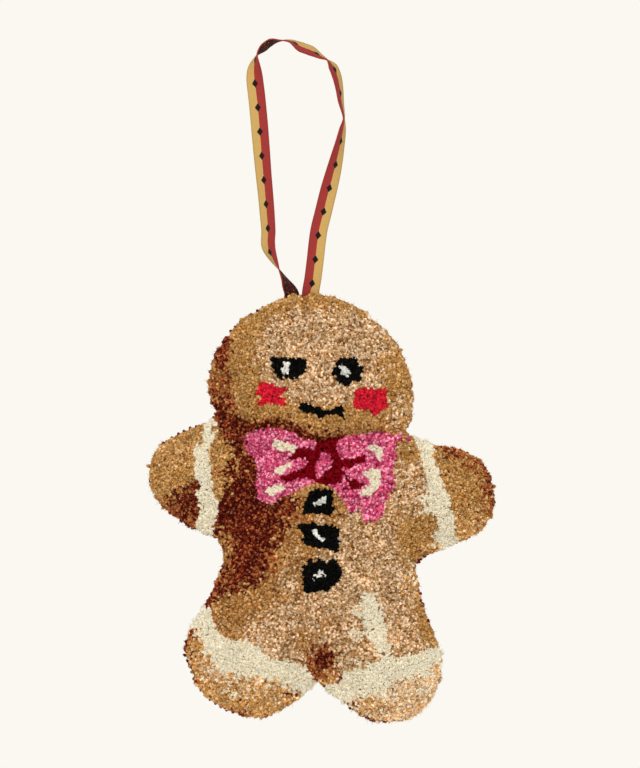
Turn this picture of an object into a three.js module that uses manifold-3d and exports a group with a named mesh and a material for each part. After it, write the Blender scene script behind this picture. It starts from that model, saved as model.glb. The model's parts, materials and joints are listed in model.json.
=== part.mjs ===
// A hand-tufted wool gingerbread man, stuffed, backed with cloth and hung on a loop of woven ribbon.
// Millimetres, +Z up. The front faces -Y, and the origin is the top of the loop, where it hangs.
import * as THREE from "three";
import { mergeVertices } from "three/addons/utils/BufferGeometryUtils.js";
import Module from "manifold-3d";

const wasm = await Module();
wasm.setup();

// The figure's size, how far its head hangs below the top of the loop, and how far it hangs to the right
const figureWidth = 127;
const figureHeight = 158;
const loopHeight = 94;
const figureShift = 13;

// The outlines are drawn on squares, so many across and up the figure and up the loop
const squaresAcross = 127;
const squaresUp = 158;
const squaresUpLoop = 94;
const squareWidth = figureWidth / squaresAcross;
const squareHeight = figureHeight / squaresUp;
const loopSquare = loopHeight / squaresUpLoop;

// Layers of the figure, from the front to the back
const pileHeight = 7;
const pileAtEdge = 4;
const pileRounding = 9;
const clothThickness = 1;
const latexThickness = 0.8;
const backThickness = 1;

// How far the stuffing swells each face, and how far in from the edge that takes
const frontCrown = 6.5;
const frontReach = 38;
const backCrown = 11.5;
const backReach = 18;
const neckCrease = 2.5;
const neckCreaseWidth = 7;

// The seam round the edge, and how far inside it the hidden layers stop
const bindingWidth = 2;
const stuffingInset = 6;
const clearance = 0.3;

// The ribbon, its ends caught in the seam at the top of the head
const ribbonWidth = 6.35;
const ribbonThickness = 0.5;
const ribbonStep = 3.5;
const ribbonTuck = 5;
const rootMiddle = 5.9;
const rootGap = 0.6;
const tackHeight = 0.8;
const tackThickness = 0.6;
const tackShare = 0.65;

// The line across the ribbon, above the pile, on which the figure swings
const swingRise = 4.2;
const swingGap = 0.8;

// Fineness of the edge and of the swelling
const edgeStep = 6;
const hiddenStep = 13;
const gridStep = 8;
const ovalSteps = 24;
const ribbonDivisions = 2000;
const insetTolerance = 0.97;
const thinnestLayer = 0.05;
const reachPast = 60;

// Wool colours and the other materials: colour and roughness
const finishes = {
  tan: [0xb58b5d, 0.95],
  light: [0xc4a27a, 0.95],
  brown: [0x6b301c, 0.95],
  cream: [0xdccfb2, 0.95],
  black: [0x0e0e0d, 0.95],
  white: [0xe9e6dc, 0.95],
  red: [0xc3283a, 0.95],
  pink: [0xc4648a, 0.95],
  burgundy: [0x6a0d18, 0.95],
  ribbon: [0xb8705a, 0.7],
  cloth: [0xd9d2c2, 0.9],
  latex: [0xe4ddc8, 0.6],
  fibre: [0xf1efe8, 1],
  backing: [0x6f4a30, 0.9],
  maroon: [0x5a1f1c, 0.95],
  thread: [0x8a3b34, 0.8],
};

// The figure's edge, as smooth stretches that meet at the neck, the armpits and between the legs
const edgeStretches = [
  [[-38.6, 33.6], [-40.3, 39.5], [-40.7, 46], [-38.4, 57.5], [-31, 68], [-24, 72.9], [-16, 76.6], [-6, 79],
    [1.5, 78.3], [10, 75.5], [18.3, 70.3], [28, 60.5], [33.2, 47.5], [33.8, 37.5], [32.4, 27.3]],
  [[32.4, 27.3], [41, 23], [50.5, 22], [57.6, 18.8], [62.3, 13], [64, 5.5], [63, -3.8], [58.9, -8.8],
    [52, -13], [35.5, -20.3]],
  [[35.5, -20.3], [35.6, -26.5], [37.2, -35], [41, -46], [45, -56.5], [42.6, -67.5], [37, -76], [26.5, -79],
    [16.6, -77.6], [7.8, -71.2], [-0.5, -65.2]],
  [[-0.5, -65.2], [-6.5, -68.9], [-13, -74.2], [-22.5, -77.9], [-34.7, -75.7], [-44.9, -68], [-49.4, -55.3],
    [-48.7, -46.6], [-42.2, -35.5], [-39.2, -27.5], [-36, -21.5], [-35.2, -15.5], [-37, -11.4]],
  [[-37, -11.4], [-46.4, -7.6], [-56, -1.4], [-61.7, 5.3], [-63, 14.2], [-58.9, 23.3], [-52, 28],
    [-44, 31.2], [-38.6, 33.6]],
];

// The figure's own middle, from the top of its head, which meets the loop
const headTopSquare = Math.max(...edgeStretches.flat().map(([, z]) => z));
const headTopHeight = -loopHeight;
const figureMiddle = { x: figureShift, z: headTopHeight - headTopSquare * squareHeight };

// The crease under the chin
const chinLine = [[-38, 32], [-28, 25], [0, 24], [26, 25.5], [32, 27]];

// The ribbon's free stretch from the left end over the top to the right end, on the loop's squares.
// Each place has x, z and the turn of the ribbon's face in degrees.
const freeStretch = [
  [0.6, -90.3, 180], [-0.1, -88.8, 180], [-2.3, -84.7, 90], [-6.2, -76.2, 39], [-6.2, -70.6, 38],
  [-6.7, -63.5, 33], [-7.3, -56.4, 31], [-8, -49.3, 26], [-8.9, -38.7, 15], [-9.8, -28.1, 0],
  [-10.5, -21, 0], [-11.3, -13.9, 17], [-11.4, -10.4, 40], [-10.9, -6.8, 75], [-10.4, -5.1, 90],
  [-8.1, -2.6, 113], [-5.3, -0.5, 110], [-2.1, 0.1, 90], [1.9, -0.1, 80], [5.7, -2.2, 55],
  [9.6, -3.7, 55], [13.2, -5.8, 74], [15.7, -7.1, 88], [17.8, -9.7, 60], [19.2, -13.2, 60],
  [20.1, -17.5, 66], [20.7, -22.4, 73], [21.8, -28.8, 88], [21.3, -33, 70], [20.2, -38.7, 58],
  [18.1, -47.9, 34], [16.1, -55.7, 15], [14.2, -63.5, 8], [12.5, -70.6, 8], [11.2, -81.2, 0],
  [10.3, -88.3, 0],
];

// The whole route in millimetres, with both ends tucked into the seam
const swingHeight = headTopHeight + swingRise;
const ribbonEnd = headTopHeight - ribbonTuck;
const rootShift = (ribbonWidth + rootGap) / 2;
const ribbonRoute = [
  [rootMiddle - rootShift, ribbonEnd, 180],
  [rootMiddle - rootShift, headTopHeight, 180],
  ...freeStretch.map(([x, z, turn]) => [x * loopSquare, z * loopSquare, turn]),
  [rootMiddle + rootShift, headTopHeight, 0],
  [rootMiddle + rootShift, ribbonEnd, 0],
];

// The light oval of the face
const faceMiddle = { x: 1.5, z: 56.5 };
const faceHalfWidth = 25.5;
const faceHalfHeight = 18.5;

// The areas of pile, one for each stretch of yarn. An area is cut round those that come before it.
// Where an area reaches the figure's edge, its outline runs past it.
const pileAreas = [
  ["eye_glint_left", "white", [[-13.5, 54.5], [-14.5, 50.5], [-13, 49], [-11.5, 51], [-11.5, 53.5]]],
  ["eye_glint_right", "white", [[7.5, 52], [9.5, 53], [11, 49], [10, 48], [8, 49.5]]],
  ["eye_left", "black", [[-17.5, 55], [-15.5, 55.5], [-5.5, 55], [-5, 52], [-6, 49.5], [-8.5, 48],
    [-15.5, 48], [-18, 52.5]]],
  ["eye_right", "black", [[6.5, 54], [8, 55.5], [13.5, 55], [14.5, 52.5], [16, 51], [15, 50], [14.5, 47],
    [11.5, 46.5], [9.5, 44.5], [7.5, 46], [4.5, 50]]],
  ["mouth", "black", [[-8, 37.5], [-6.5, 39], [-3.5, 38], [-0.5, 36.5], [3.5, 36], [8, 37.5], [9, 33],
    [5.5, 34.5], [2.5, 34.5], [0.5, 33], [-4, 35.5], [-6, 35]]],
  ["cheek_left", "red", [[-22.5, 46.5], [-18, 45.5], [-12, 43.5], [-15.5, 41.5], [-13, 40], [-12.5, 37.5],
    [-17.5, 38.5], [-23.5, 37.5], [-21.5, 40.5], [-23.5, 42]]],
  ["cheek_right", "red", [[12.5, 43.5], [16.5, 44], [24.5, 43.5], [25, 38], [20, 34], [18, 36], [13, 36.5],
    [12.5, 39.5]]],
  ["bow_light_1", "cream", [[-18, 23.5], [-16.5, 25], [-13.5, 24], [-9, 23.5], [-9, 22.5], [-10.5, 21],
    [-13.5, 21.5], [-17, 22]]],
  ["bow_light_2", "cream", [[-17.5, 14], [-13, 15.5], [-11.5, 17], [-10.5, 15.5], [-12.5, 14],
    [-14.5, 12.5], [-17, 12.5]]],
  ["bow_light_3", "cream", [[-20.5, 7], [-17, 8.5], [-13, 8], [-13.5, 6.5], [-17.5, 4.5], [-19.5, 5.5]]],
  ["bow_light_4", "cream", [[17.5, 22.5], [21, 23], [23, 22], [22.5, 17.5], [21, 18], [21, 20.5], [18, 21]]],
  ["bow_light_5", "cream", [[15.5, 12], [19.5, 14.5], [22, 14.5], [22.5, 9], [19, 5], [15, 4], [14.5, 5.5],
    [18.5, 8.5], [18, 11]]],
  ["bow_knot", "pink", [[-2, 16], [1, 20.5], [4, 19], [4.5, 17.5], [3.5, 14], [1, 13], [0, 11],
    [-1.5, 11.5]]],
  ["bow_folds", "burgundy", [[-12, 18], [-8.5, 22], [-2, 21.5], [0, 24.5], [7, 26], [5.5, 22], [6.5, 18],
    [11, 18], [17, 19.5], [16.5, 17.5], [11, 15], [8, 15.5], [8.5, 13], [11.5, 11], [17, 8], [9.5, 6.5],
    [7, 9], [3.5, 8.5], [-2, 10], [-6, 11.5], [-13, 9], [-14.5, 11.5], [-10, 13], [-4.5, 15.5], [-4.5, 18],
    [-7.5, 18.5]]],
  ["bow_left", "pink", [[-28.5, 26], [-24, 28.5], [-14.5, 29], [-10, 27.5], [-6.5, 25], [0.5, 23.5],
    [0.5, 10.5], [-6.5, 7.5], [-13.5, 4], [-19, 1], [-22.5, 3], [-24, 8.5], [-23, 13], [-24.5, 18.5],
    [-28, 22]]],
  ["bow_right", "pink", [[2, 23.5], [8, 25.5], [17.5, 27.5], [23.5, 28], [27.5, 26], [28, 18], [26.5, 13],
    [28, 8], [24, 2.5], [23.5, -2], [20.5, -5], [16.5, -5], [14.5, 1.5], [12.5, -1.5], [11, -1.5], [8, 4],
    [4.5, 7], [2, 10]]],
  ["button_glint_1", "white", [[-2.5, 1.5], [2, 4.5], [2.5, 3.5], [1.5, 1.5], [-1.5, 0.5]]],
  ["button_glint_2", "white", [[-3, -9], [-1.5, -8], [-1, -9.5], [2.5, -11.5], [2, -12.5], [-2, -11]]],
  ["button_glint_3", "white", [[-3.5, -26], [0, -23], [2.5, -24.5], [0, -27], [-2, -27]]],
  ["button_1", "black", [[-6.5, 0], [-5, 3], [-3.5, 6.5], [5, 6.5], [4.5, 3], [5, -0.5], [4, -3], [1, -2],
    [-6, -2]]],
  ["button_2", "black", [[-8, -6], [-2, -5.5], [-1, -7], [4, -6.5], [6.5, -8], [7, -14.5], [6, -16.5],
    [2.5, -15], [-5.5, -13.5], [-6.5, -9.5]]],
  ["button_3", "black", [[-7, -22], [-1.5, -20.5], [7.5, -21], [8, -25], [6, -28], [2, -30.5], [-6, -31],
    [-6, -27.5]]],
  ["face_light", "light", oval(faceMiddle, faceHalfWidth, faceHalfHeight)],
  ["head_shade", "brown", [[-44.5, 63.5], [-34, 63.5], [-34.5, 58], [-35, 50], [-34, 42.5], [-31.5, 37.5],
    [-30.5, 33.5], [-25.5, 30.5], [-18.5, 32.5], [-13, 32.5], [-8, 30.5], [-3.5, 27], [3.5, 25.5],
    [3.5, 22], [-21.5, 22], [-28, 24.5], [-35, 27.5], [-38, 32], [-42, 35], [-46, 45]]],
  ["head_pile", "tan", [[-38, 32], [-35, 27.5], [-28, 24.5], [-21.5, 22], [22, 22], [28, 25.5], [32, 27],
    [39, 32], [39, 65.5], [0, 84], [-39, 65.5], [-45, 45], [-42, 35]]],
  ["arm_stripe_left", "cream", [[-42, 33.5], [-43.5, 29], [-47, 21.5], [-46.5, 14], [-46, 5.5], [-44.5, -1],
    [-46, -7], [-47, -10.5], [-40, -12], [-39, -6.5], [-37.5, 1.5], [-39.5, 5.5], [-40.5, 14], [-41, 21],
    [-38, 28.5], [-38.5, 33]]],
  ["arm_stripe_right", "cream", [[33.5, 28], [36, 22.5], [37.5, 17.5], [39, 12.5], [40, 5.5], [40.5, -1],
    [43.5, -5], [43, -8], [44, -10.5], [44.5, -19], [52, -16.5], [50.5, -10.5], [50, -4], [48, 0.5],
    [47.5, 5], [45, 8], [45, 12], [42, 17], [41.5, 26.5]]],
  ["hand_shade_left", "brown", [[-48, 10.5], [-43.5, 10], [-42, -1], [-43.5, -11.5], [-50, -11.5],
    [-58, -2.5], [-55, 4.5], [-49, 7]]],
  ["hand_left", "tan", [[-42.5, 35], [-41.5, 29], [-44.5, 21.5], [-43.5, 14], [-42.5, 5.5], [-41.5, -1],
    [-42.5, -7], [-43.5, -14], [-70.5, -14], [-70.5, 36]]],
  ["hand_shade_right", "brown", [[57.5, 19], [60, 13], [60.5, 5.5], [59.5, -2], [55.5, -8], [57.5, -14],
    [71, -8.5], [71, 13.5], [63, 21]]],
  ["hand_right", "tan", [[38.5, 28.5], [39.5, 17.5], [42, 12], [43.5, 5.5], [44.5, 0.5], [47, -4],
    [47.5, -10.5], [48, -20.5], [74, -20.5], [74, 28.5]]],
  ["upper_arm_left", "tan", [[-40, 34.5], [-36, 32], [-32, 25.5], [-30.5, 19], [-32, 13.5],
    [-34.5, 8.5], [-36.5, 3.5], [-38.5, -1], [-42, 0.5], [-43.5, 21]]],
  ["leg_stripe_left", "cream", [[-45, -33], [-40, -39], [-38, -45.5], [-33.5, -49], [-27.5, -49],
    [-23, -51.5], [-18, -56], [-11, -57], [-5, -58.5], [-4, -62], [-0.5, -65.5], [-3, -72], [-6, -69],
    [-10, -66.5], [-16.5, -64], [-23, -62.5], [-30.5, -60.5], [-36.5, -61.5], [-40, -55.5], [-43.5, -50.5],
    [-45, -45], [-52, -45.5]]],
  ["leg_stripe_right", "cream", [[-0.5, -67.5], [2.5, -65.5], [7.5, -64.5], [8.5, -60.5], [15.5, -59.5],
    [19, -57.5], [25, -56], [33, -54.5], [40, -52.5], [48, -50.5], [48, -56], [41.5, -58], [40.5, -62],
    [37, -62], [30.5, -64], [26.5, -65], [20.5, -67.5], [17, -69], [11.5, -71], [6.5, -73]]],
  ["foot_left", "tan", [[-53.5, -43], [-45, -43], [-41.5, -50], [-38, -57], [-29.5, -55], [-22, -58.5],
    [-11, -62], [-5, -65], [-1.5, -71.5], [-7.5, -82.5], [-53.5, -82.5]]],
  ["foot_right", "tan", [[2, -70.5], [7.5, -67.5], [15.5, -64.5], [26, -61], [37, -57.5], [43, -55.5],
    [52, -53.5], [52, -86], [2, -86]]],
  ["thigh_drip", "cream", [[14, -36], [15.5, -31.5], [21, -31.5], [23.5, -39.5], [24.5, -48], [25, -52],
    [23.5, -54], [21, -52.5], [17, -47], [15.5, -43], [16.5, -39.5]]],
  ["crotch_shade", "brown", [[-6, -57.5], [-3.5, -54.5], [1, -52], [3.5, -54.5], [5.5, -59], [9.5, -62],
    [8, -69], [-3.5, -70]]],
  ["torso_shade", "brown", [[-38, 32], [-35, 27.5], [-28, 24.5], [-21.5, 22], [-20, 10], [-18.5, 0.5],
    [-12, 3], [-11, -3.5], [-15, -12], [-18.5, -19.5], [-23, -29], [-30.5, -31.5], [-36.5, -31.5],
    [-41.5, -37], [-47, -39], [-42.5, -27], [-39.5, -16], [-41.5, -8.5], [-42, 25]]],
  ["flank_right", "tan", [[22, 26], [28, 25.5], [32, 27], [35, 30.5], [37.5, 25], [39, 17.5], [41, 12],
    [43, 5.5], [43.5, 0.5], [46, -4], [46.5, -10.5], [46.5, -20.5], [38.5, -22], [41.5, -35], [47.5, -49],
    [49, -55], [40.5, -57.5], [39.5, -53], [37, -46], [33.5, -36], [32, -26.5], [30.5, -18], [28, -10.5],
    [29, -3.5], [25, 1], [22, 2.5]]],
  ["belly_light", "light", [[11, 2.5], [26, 2.5], [30.5, 0.5], [30.5, -10.5], [32.5, -18], [34, -26.5],
    [35.5, -36], [39, -46], [43, -55], [42, -59], [33.5, -59], [19, -62], [9.5, -65], [5.5, -61],
    [-3.5, -59.5], [-7.5, -61], [-18, -59.5], [-26, -53], [-31, -50.5], [-29.5, -45], [-21.5, -39],
    [-9, -33.5], [0, -29], [0, -14], [4.5, -9], [9.5, -4]]],
  ["torso_pile", "tan", [[-50, -70], [50, -70], [50, 40], [-50, 40]]],
];

function oval(middle, halfWidth, halfHeight) {
  const curve = new THREE.EllipseCurve(middle.x, middle.z, halfWidth, halfHeight);
  return curve.getPoints(ovalSteps).slice(1).map((p) => [p.x, p.y]);
}

// Places on the figure's squares, in millimetres
function vectors(points) {
  return points.map(([x, z]) => new THREE.Vector2(x * squareWidth, z * squareHeight));
}

// The edge as one loop of points, anticlockwise as seen from the front
function edgeLoop(step) {
  const loop = edgeStretches.flatMap((points) => {
    const curve = new THREE.SplineCurve(vectors(points));
    return curve.getSpacedPoints(Math.ceil(curve.getLength() / step)).slice(1);
  });
  return loop.reverse();
}

function segmentDistance(p, a, b) {
  const along = b.clone().sub(a);
  const share = THREE.MathUtils.clamp(p.clone().sub(a).dot(along) / along.lengthSq(), 0, 1);
  return p.distanceTo(along.multiplyScalar(share).add(a));
}

function loopDistance(p, loop) {
  return Math.min(...loop.map((a, i) => segmentDistance(p, a, loop[(i + 1) % loop.length])));
}

function lineDistance(p, line) {
  return Math.min(...line.slice(1).map((b, i) => segmentDistance(p, line[i], b)));
}

function isInside(p, loop) {
  const crossings = loop.filter((a, i) => {
    const b = loop[(i + 1) % loop.length];
    return a.y > p.y !== b.y > p.y && p.x < a.x + ((p.y - a.y) * (b.x - a.x)) / (b.y - a.y);
  });
  return crossings.length % 2 === 1;
}

// A loop moved outwards by a distance, with square corners
function grown(points, distance) {
  const loop = THREE.ShapeUtils.area(points) < 0 ? [...points].reverse() : points;
  return loop.map((p, i) => {
    const before = p.clone().sub(loop.at(i - 1)).normalize();
    const after = loop[(i + 1) % loop.length].clone().sub(p).normalize();
    const first = new THREE.Vector2(before.y, -before.x);
    const second = new THREE.Vector2(after.y, -after.x);
    const corner = first.clone().add(second).divideScalar(1 + first.dot(second));
    return p.clone().addScaledVector(corner, distance);
  });
}

// The edge moved inwards for the hidden pieces, without the points that would cross over
function inset(distance) {
  const loop = edgeLoop(hiddenStep);
  return grown(loop, -distance).filter((p) => loopDistance(p, loop) > distance * insetTolerance);
}

function solid(geometry) {
  geometry.deleteAttribute("normal");
  geometry.deleteAttribute("uv");
  const merged = mergeVertices(geometry);
  const vertProperties = new Float32Array(merged.attributes.position.array);
  const triVerts = new Uint32Array(merged.index.array);
  return new wasm.Manifold(new wasm.Mesh({ numProp: 3, vertProperties, triVerts }));
}

// A straight-sided block of an outline, by default reaching past the figure's front and back
function prism(points, front = -reachPast, back = reachPast) {
  const shape = new THREE.Shape(points);
  const geometry = new THREE.ExtrudeGeometry(shape, { depth: back - front, bevelEnabled: false });
  return solid(geometry.rotateX(Math.PI / 2).translate(0, back, 0));
}

function block(width, depth, height, x, y, z) {
  return solid(new THREE.BoxGeometry(width, depth, height).translate(x, y, z));
}

const edge = edgeLoop(edgeStep);
const box = new THREE.Box2().setFromPoints(edge).expandByScalar(gridStep / 2);
const columns = Math.ceil((box.max.x - box.min.x) / gridStep);
const rows = Math.ceil((box.max.y - box.min.y) / gridStep);

function bulge(share) {
  return Math.sin((Math.min(share, 1) * Math.PI) / 2);
}

// The swelling of both faces and the height of the pile at one place of the grid
function swellingAt(column, row) {
  const p = new THREE.Vector2(box.min.x + column * gridStep, box.min.y + row * gridStep);
  const depth = isInside(p, edge) ? loopDistance(p, edge) : 0;
  const pastSeam = Math.max(0, depth - bindingWidth - clearance);
  const crease = neckCrease * Math.exp(-((lineDistance(p, vectors(chinLine)) / neckCreaseWidth) ** 2));
  return {
    x: p.x,
    z: p.y,
    front: Math.max(0, frontCrown * bulge(pastSeam / frontReach) - crease * bulge(pastSeam / pileRounding)),
    back: backCrown * bulge(pastSeam / backReach),
    pile: pileAtEdge + (pileHeight - pileAtEdge) * bulge(depth / pileRounding),
  };
}

const grid = [];
for (let row = 0; row <= rows; row += 1) {
  for (let column = 0; column <= columns; column += 1) {
    grid.push(swellingAt(column, row));
  }
}

// A layer between two faces of the grid. Where they would cross, outside the figure, it stays thin.
function layer(frontFace, backFace) {
  const positions = [];
  for (const side of [-1, 1]) {
    for (const place of grid) {
      const middle = (frontFace(place) + backFace(place)) / 2;
      const half = Math.max((backFace(place) - frontFace(place)) / 2, thinnestLayer);
      positions.push(place.x, middle + side * half, place.z);
    }
  }
  const index = [];
  const quad = (a, b, c, d) => index.push(a, b, c, a, c, d);
  const behind = grid.length;
  const across = columns + 1;
  for (let row = 0; row < rows; row += 1) {
    for (let column = 0; column < columns; column += 1) {
      const a = row * across + column;
      const [b, c, d] = [a + 1, a + 1 + across, a + across];
      quad(a, b, c, d);
      index.push(a + behind, c + behind, b + behind, a + behind, d + behind, c + behind);
    }
  }
  for (let column = 0; column < columns; column += 1) {
    const top = rows * across + column;
    quad(column, column + behind, column + 1 + behind, column + 1);
    quad(top, top + 1, top + 1 + behind, top + behind);
  }
  for (let row = 0; row < rows; row += 1) {
    const left = row * across;
    const right = left + columns;
    quad(left, left + across, left + across + behind, left + behind);
    quad(right, right + behind, right + across + behind, right + across);
  }
  const geometry = new THREE.BufferGeometry();
  geometry.setAttribute("position", new THREE.Float32BufferAttribute(positions, 3));
  return solid(geometry.setIndex(index));
}

// The ribbon as a long thin box, laid along its route and turned as its face turns
function ribbonStrip(width, thickness) {
  const curve = new THREE.CatmullRomCurve3(ribbonRoute.map(([x, z]) => new THREE.Vector3(x, 0, z)));
  curve.arcLengthDivisions = ribbonDivisions;
  const steps = Math.round(curve.getLength() / ribbonStep);
  const geometry = new THREE.BoxGeometry(width, thickness, 1, 1, 1, steps);
  const position = geometry.attributes.position;
  const forward = new THREE.Vector3(0, -1, 0);
  for (let i = 0; i < position.count; i += 1) {
    const t = curve.getUtoTmapping(THREE.MathUtils.clamp(position.getZ(i) + 0.5, 0, 1));
    const place = t * (ribbonRoute.length - 1);
    const from = Math.min(Math.floor(place), ribbonRoute.length - 2);
    const turn = THREE.MathUtils.lerp(ribbonRoute[from][2], ribbonRoute[from + 1][2], place - from);
    const tangent = curve.getTangent(t);
    const normal = forward.clone().applyAxisAngle(tangent, -THREE.MathUtils.degToRad(turn));
    const across = normal.clone().cross(tangent);
    const p = curve.getPoint(t);
    p.addScaledVector(across, position.getX(i)).addScaledVector(normal, position.getY(i));
    position.setXYZ(i, p.x, p.y, p.z);
  }
  return solid(geometry);
}

function namedMesh(name, finish, shape) {
  const made = shape.getMesh();
  const geometry = new THREE.BufferGeometry();
  geometry.setAttribute("position", new THREE.BufferAttribute(made.vertProperties, 3));
  geometry.setIndex(new THREE.BufferAttribute(made.triVerts, 1));
  const [color, roughness] = finishes[finish];
  const material = new THREE.MeshStandardMaterial({ color, roughness, metalness: 0, flatShading: true });
  const mesh = new THREE.Mesh(geometry, material);
  mesh.name = name;
  return mesh;
}

// Faces of the layers, outwards from the gap in which the ribbon's ends lie
const seam = ribbonThickness / 2 + clearance;
const clothFront = (place) => -seam - clothThickness - place.front;
const clothBack = (place) => clothFront(place) + clothThickness;
const pileBack = (place) => clothFront(place) - clearance;
const pileFront = (place) => pileBack(place) - place.pile;
const latexFront = (place) => clothBack(place) + clearance;
const latexBack = (place) => latexFront(place) + latexThickness;
const stuffingFront = (place) => latexBack(place) + clearance;
const panelFront = (place) => seam + place.back;
const panelBack = (place) => panelFront(place) + backThickness;
const stuffingBack = (place) => panelFront(place) - clearance;

const ornament = new THREE.Group();
const figure = new THREE.Group();
figure.position.set(figureMiddle.x, 0, figureMiddle.z);
ornament.add(figure);

// The pile, area by area, each kept clear of those already placed
const pile = layer(pileFront, pileBack).intersect(prism(edge));
let taken = null;
for (const [name, yarn, points] of pileAreas) {
  const area = pile.intersect(prism(vectors(points)));
  figure.add(namedMesh(name, yarn, taken ? area.subtract(taken) : area));
  const cutter = prism(grown(vectors(points), clearance));
  taken = taken ? taken.add(cutter) : cutter;
}

// The cloth that holds the tufts, its latex coat, the stuffing and the back panel
const clothEdge = prism(inset(bindingWidth + clearance));
const stuffingEdge = prism(inset(stuffingInset));
figure.add(namedMesh("tufting_cloth", "cloth", layer(clothFront, clothBack).intersect(clothEdge)));
figure.add(namedMesh("latex_coat", "latex", layer(latexFront, latexBack).intersect(stuffingEdge)));
figure.add(namedMesh("stuffing", "fibre", layer(stuffingFront, stuffingBack).intersect(stuffingEdge)));
figure.add(namedMesh("back_panel", "backing", layer(panelFront, panelBack).intersect(clothEdge)));

// The yarn that binds the edge, with a slot for each end of the ribbon
const slot = ribbonStrip(ribbonWidth + 2 * clearance, ribbonThickness + 2 * clearance);
const bindingFront = -seam - clothThickness;
const bindingBack = seam + backThickness;
const binding = prism(inset(clearance), bindingFront, bindingBack)
  .subtract(prism(inset(bindingWidth)))
  .subtract(slot.translate(-figureMiddle.x, 0, -figureMiddle.z));
figure.add(namedMesh("edge_binding", "maroon", binding));

// The ribbon, parted at the swing line: the loop stays still and its two ends swing with the figure
const strip = ribbonStrip(ribbonWidth, ribbonThickness);
const half = 2 * reachPast;
const loopBottom = swingHeight + swingGap / 2;
const endTop = swingHeight - swingGap / 2;
const above = block(2 * half, half, 2 * half, 0, 0, loopBottom + half);
const below = (side) => block(half, half, half, rootMiddle + (side * half) / 2, 0, endTop - half / 2);
ornament.add(namedMesh("ribbon_loop", "ribbon", strip.intersect(above)));
ornament.add(namedMesh("ribbon_end_left", "ribbon", strip.intersect(below(-1))));
ornament.add(namedMesh("ribbon_end_right", "ribbon", strip.intersect(below(1))));

// The bar of stitches that catches the inner part of both ends
const tackY = seam + tackThickness / 2;
const tackZ = ribbonEnd + tackHeight / 2;
const tackWidth = rootGap + 2 * tackShare * ribbonWidth;
const tack = block(tackWidth, tackThickness, tackHeight, rootMiddle, tackY, tackZ);
ornament.add(namedMesh("ribbon_tack", "thread", tack));

export default ornament;
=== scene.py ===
import json
import math

import bmesh
import bpy
import numpy as np
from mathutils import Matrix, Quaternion, Vector, noise
from mathutils.bvhtree import BVHTree


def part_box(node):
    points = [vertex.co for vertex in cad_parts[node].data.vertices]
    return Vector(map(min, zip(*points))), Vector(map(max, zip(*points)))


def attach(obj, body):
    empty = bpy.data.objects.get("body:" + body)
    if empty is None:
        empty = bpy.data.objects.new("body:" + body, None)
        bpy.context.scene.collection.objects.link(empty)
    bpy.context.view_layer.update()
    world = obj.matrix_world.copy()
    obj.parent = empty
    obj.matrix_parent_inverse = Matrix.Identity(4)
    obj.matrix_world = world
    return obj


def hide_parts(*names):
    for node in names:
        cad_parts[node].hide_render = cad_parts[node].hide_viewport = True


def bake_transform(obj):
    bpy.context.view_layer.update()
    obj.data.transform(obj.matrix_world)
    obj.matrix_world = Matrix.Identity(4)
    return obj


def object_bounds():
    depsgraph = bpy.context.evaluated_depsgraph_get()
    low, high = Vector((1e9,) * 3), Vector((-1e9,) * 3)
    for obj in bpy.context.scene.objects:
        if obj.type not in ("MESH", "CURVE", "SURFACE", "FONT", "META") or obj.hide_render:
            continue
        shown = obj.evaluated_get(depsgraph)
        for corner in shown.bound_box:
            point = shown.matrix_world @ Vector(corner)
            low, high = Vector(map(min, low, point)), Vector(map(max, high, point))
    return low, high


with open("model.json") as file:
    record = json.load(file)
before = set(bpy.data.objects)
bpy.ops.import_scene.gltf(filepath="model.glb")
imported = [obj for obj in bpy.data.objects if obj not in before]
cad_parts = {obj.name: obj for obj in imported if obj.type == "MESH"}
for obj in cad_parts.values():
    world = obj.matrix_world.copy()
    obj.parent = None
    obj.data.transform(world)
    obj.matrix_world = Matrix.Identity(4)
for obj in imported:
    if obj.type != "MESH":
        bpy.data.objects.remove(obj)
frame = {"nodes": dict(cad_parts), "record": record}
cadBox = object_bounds()
mm = 0.001
dice = np.random.default_rng(24)
noise.seed_set(24)

slotOf = {part["node"]: part["material_slot"] for part in frame["record"]["subparts"]}
pileNodes = [node for node in frame["nodes"] if slotOf[node].startswith("wool_")]


# the photograph's view: straight on, from far away

view = {
    "frame": (640, 768),
    "loopTop": (285, 39.8),  # where the loop's top is in the photograph
    "pixel": 0.37 * mm,
    "distance": 2.5,
    "faceDepth": 8 * mm,  # the picture's scale is right this far in front of the seam
}


def setUpCamera():
    wide, tall = view["frame"]
    across, down = view["loopTop"]
    place = ((wide / 2 - across) * view["pixel"], -view["distance"] - view["faceDepth"],
             (down - tall / 2) * view["pixel"])
    bpy.ops.object.camera_add(location=place, rotation=(math.pi / 2, 0, 0))
    camera = bpy.context.object
    camera.data.lens = camera.data.sensor_width * view["distance"] / (tall * view["pixel"])
    bpy.context.scene.camera = camera


# shader values as expressions


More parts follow.
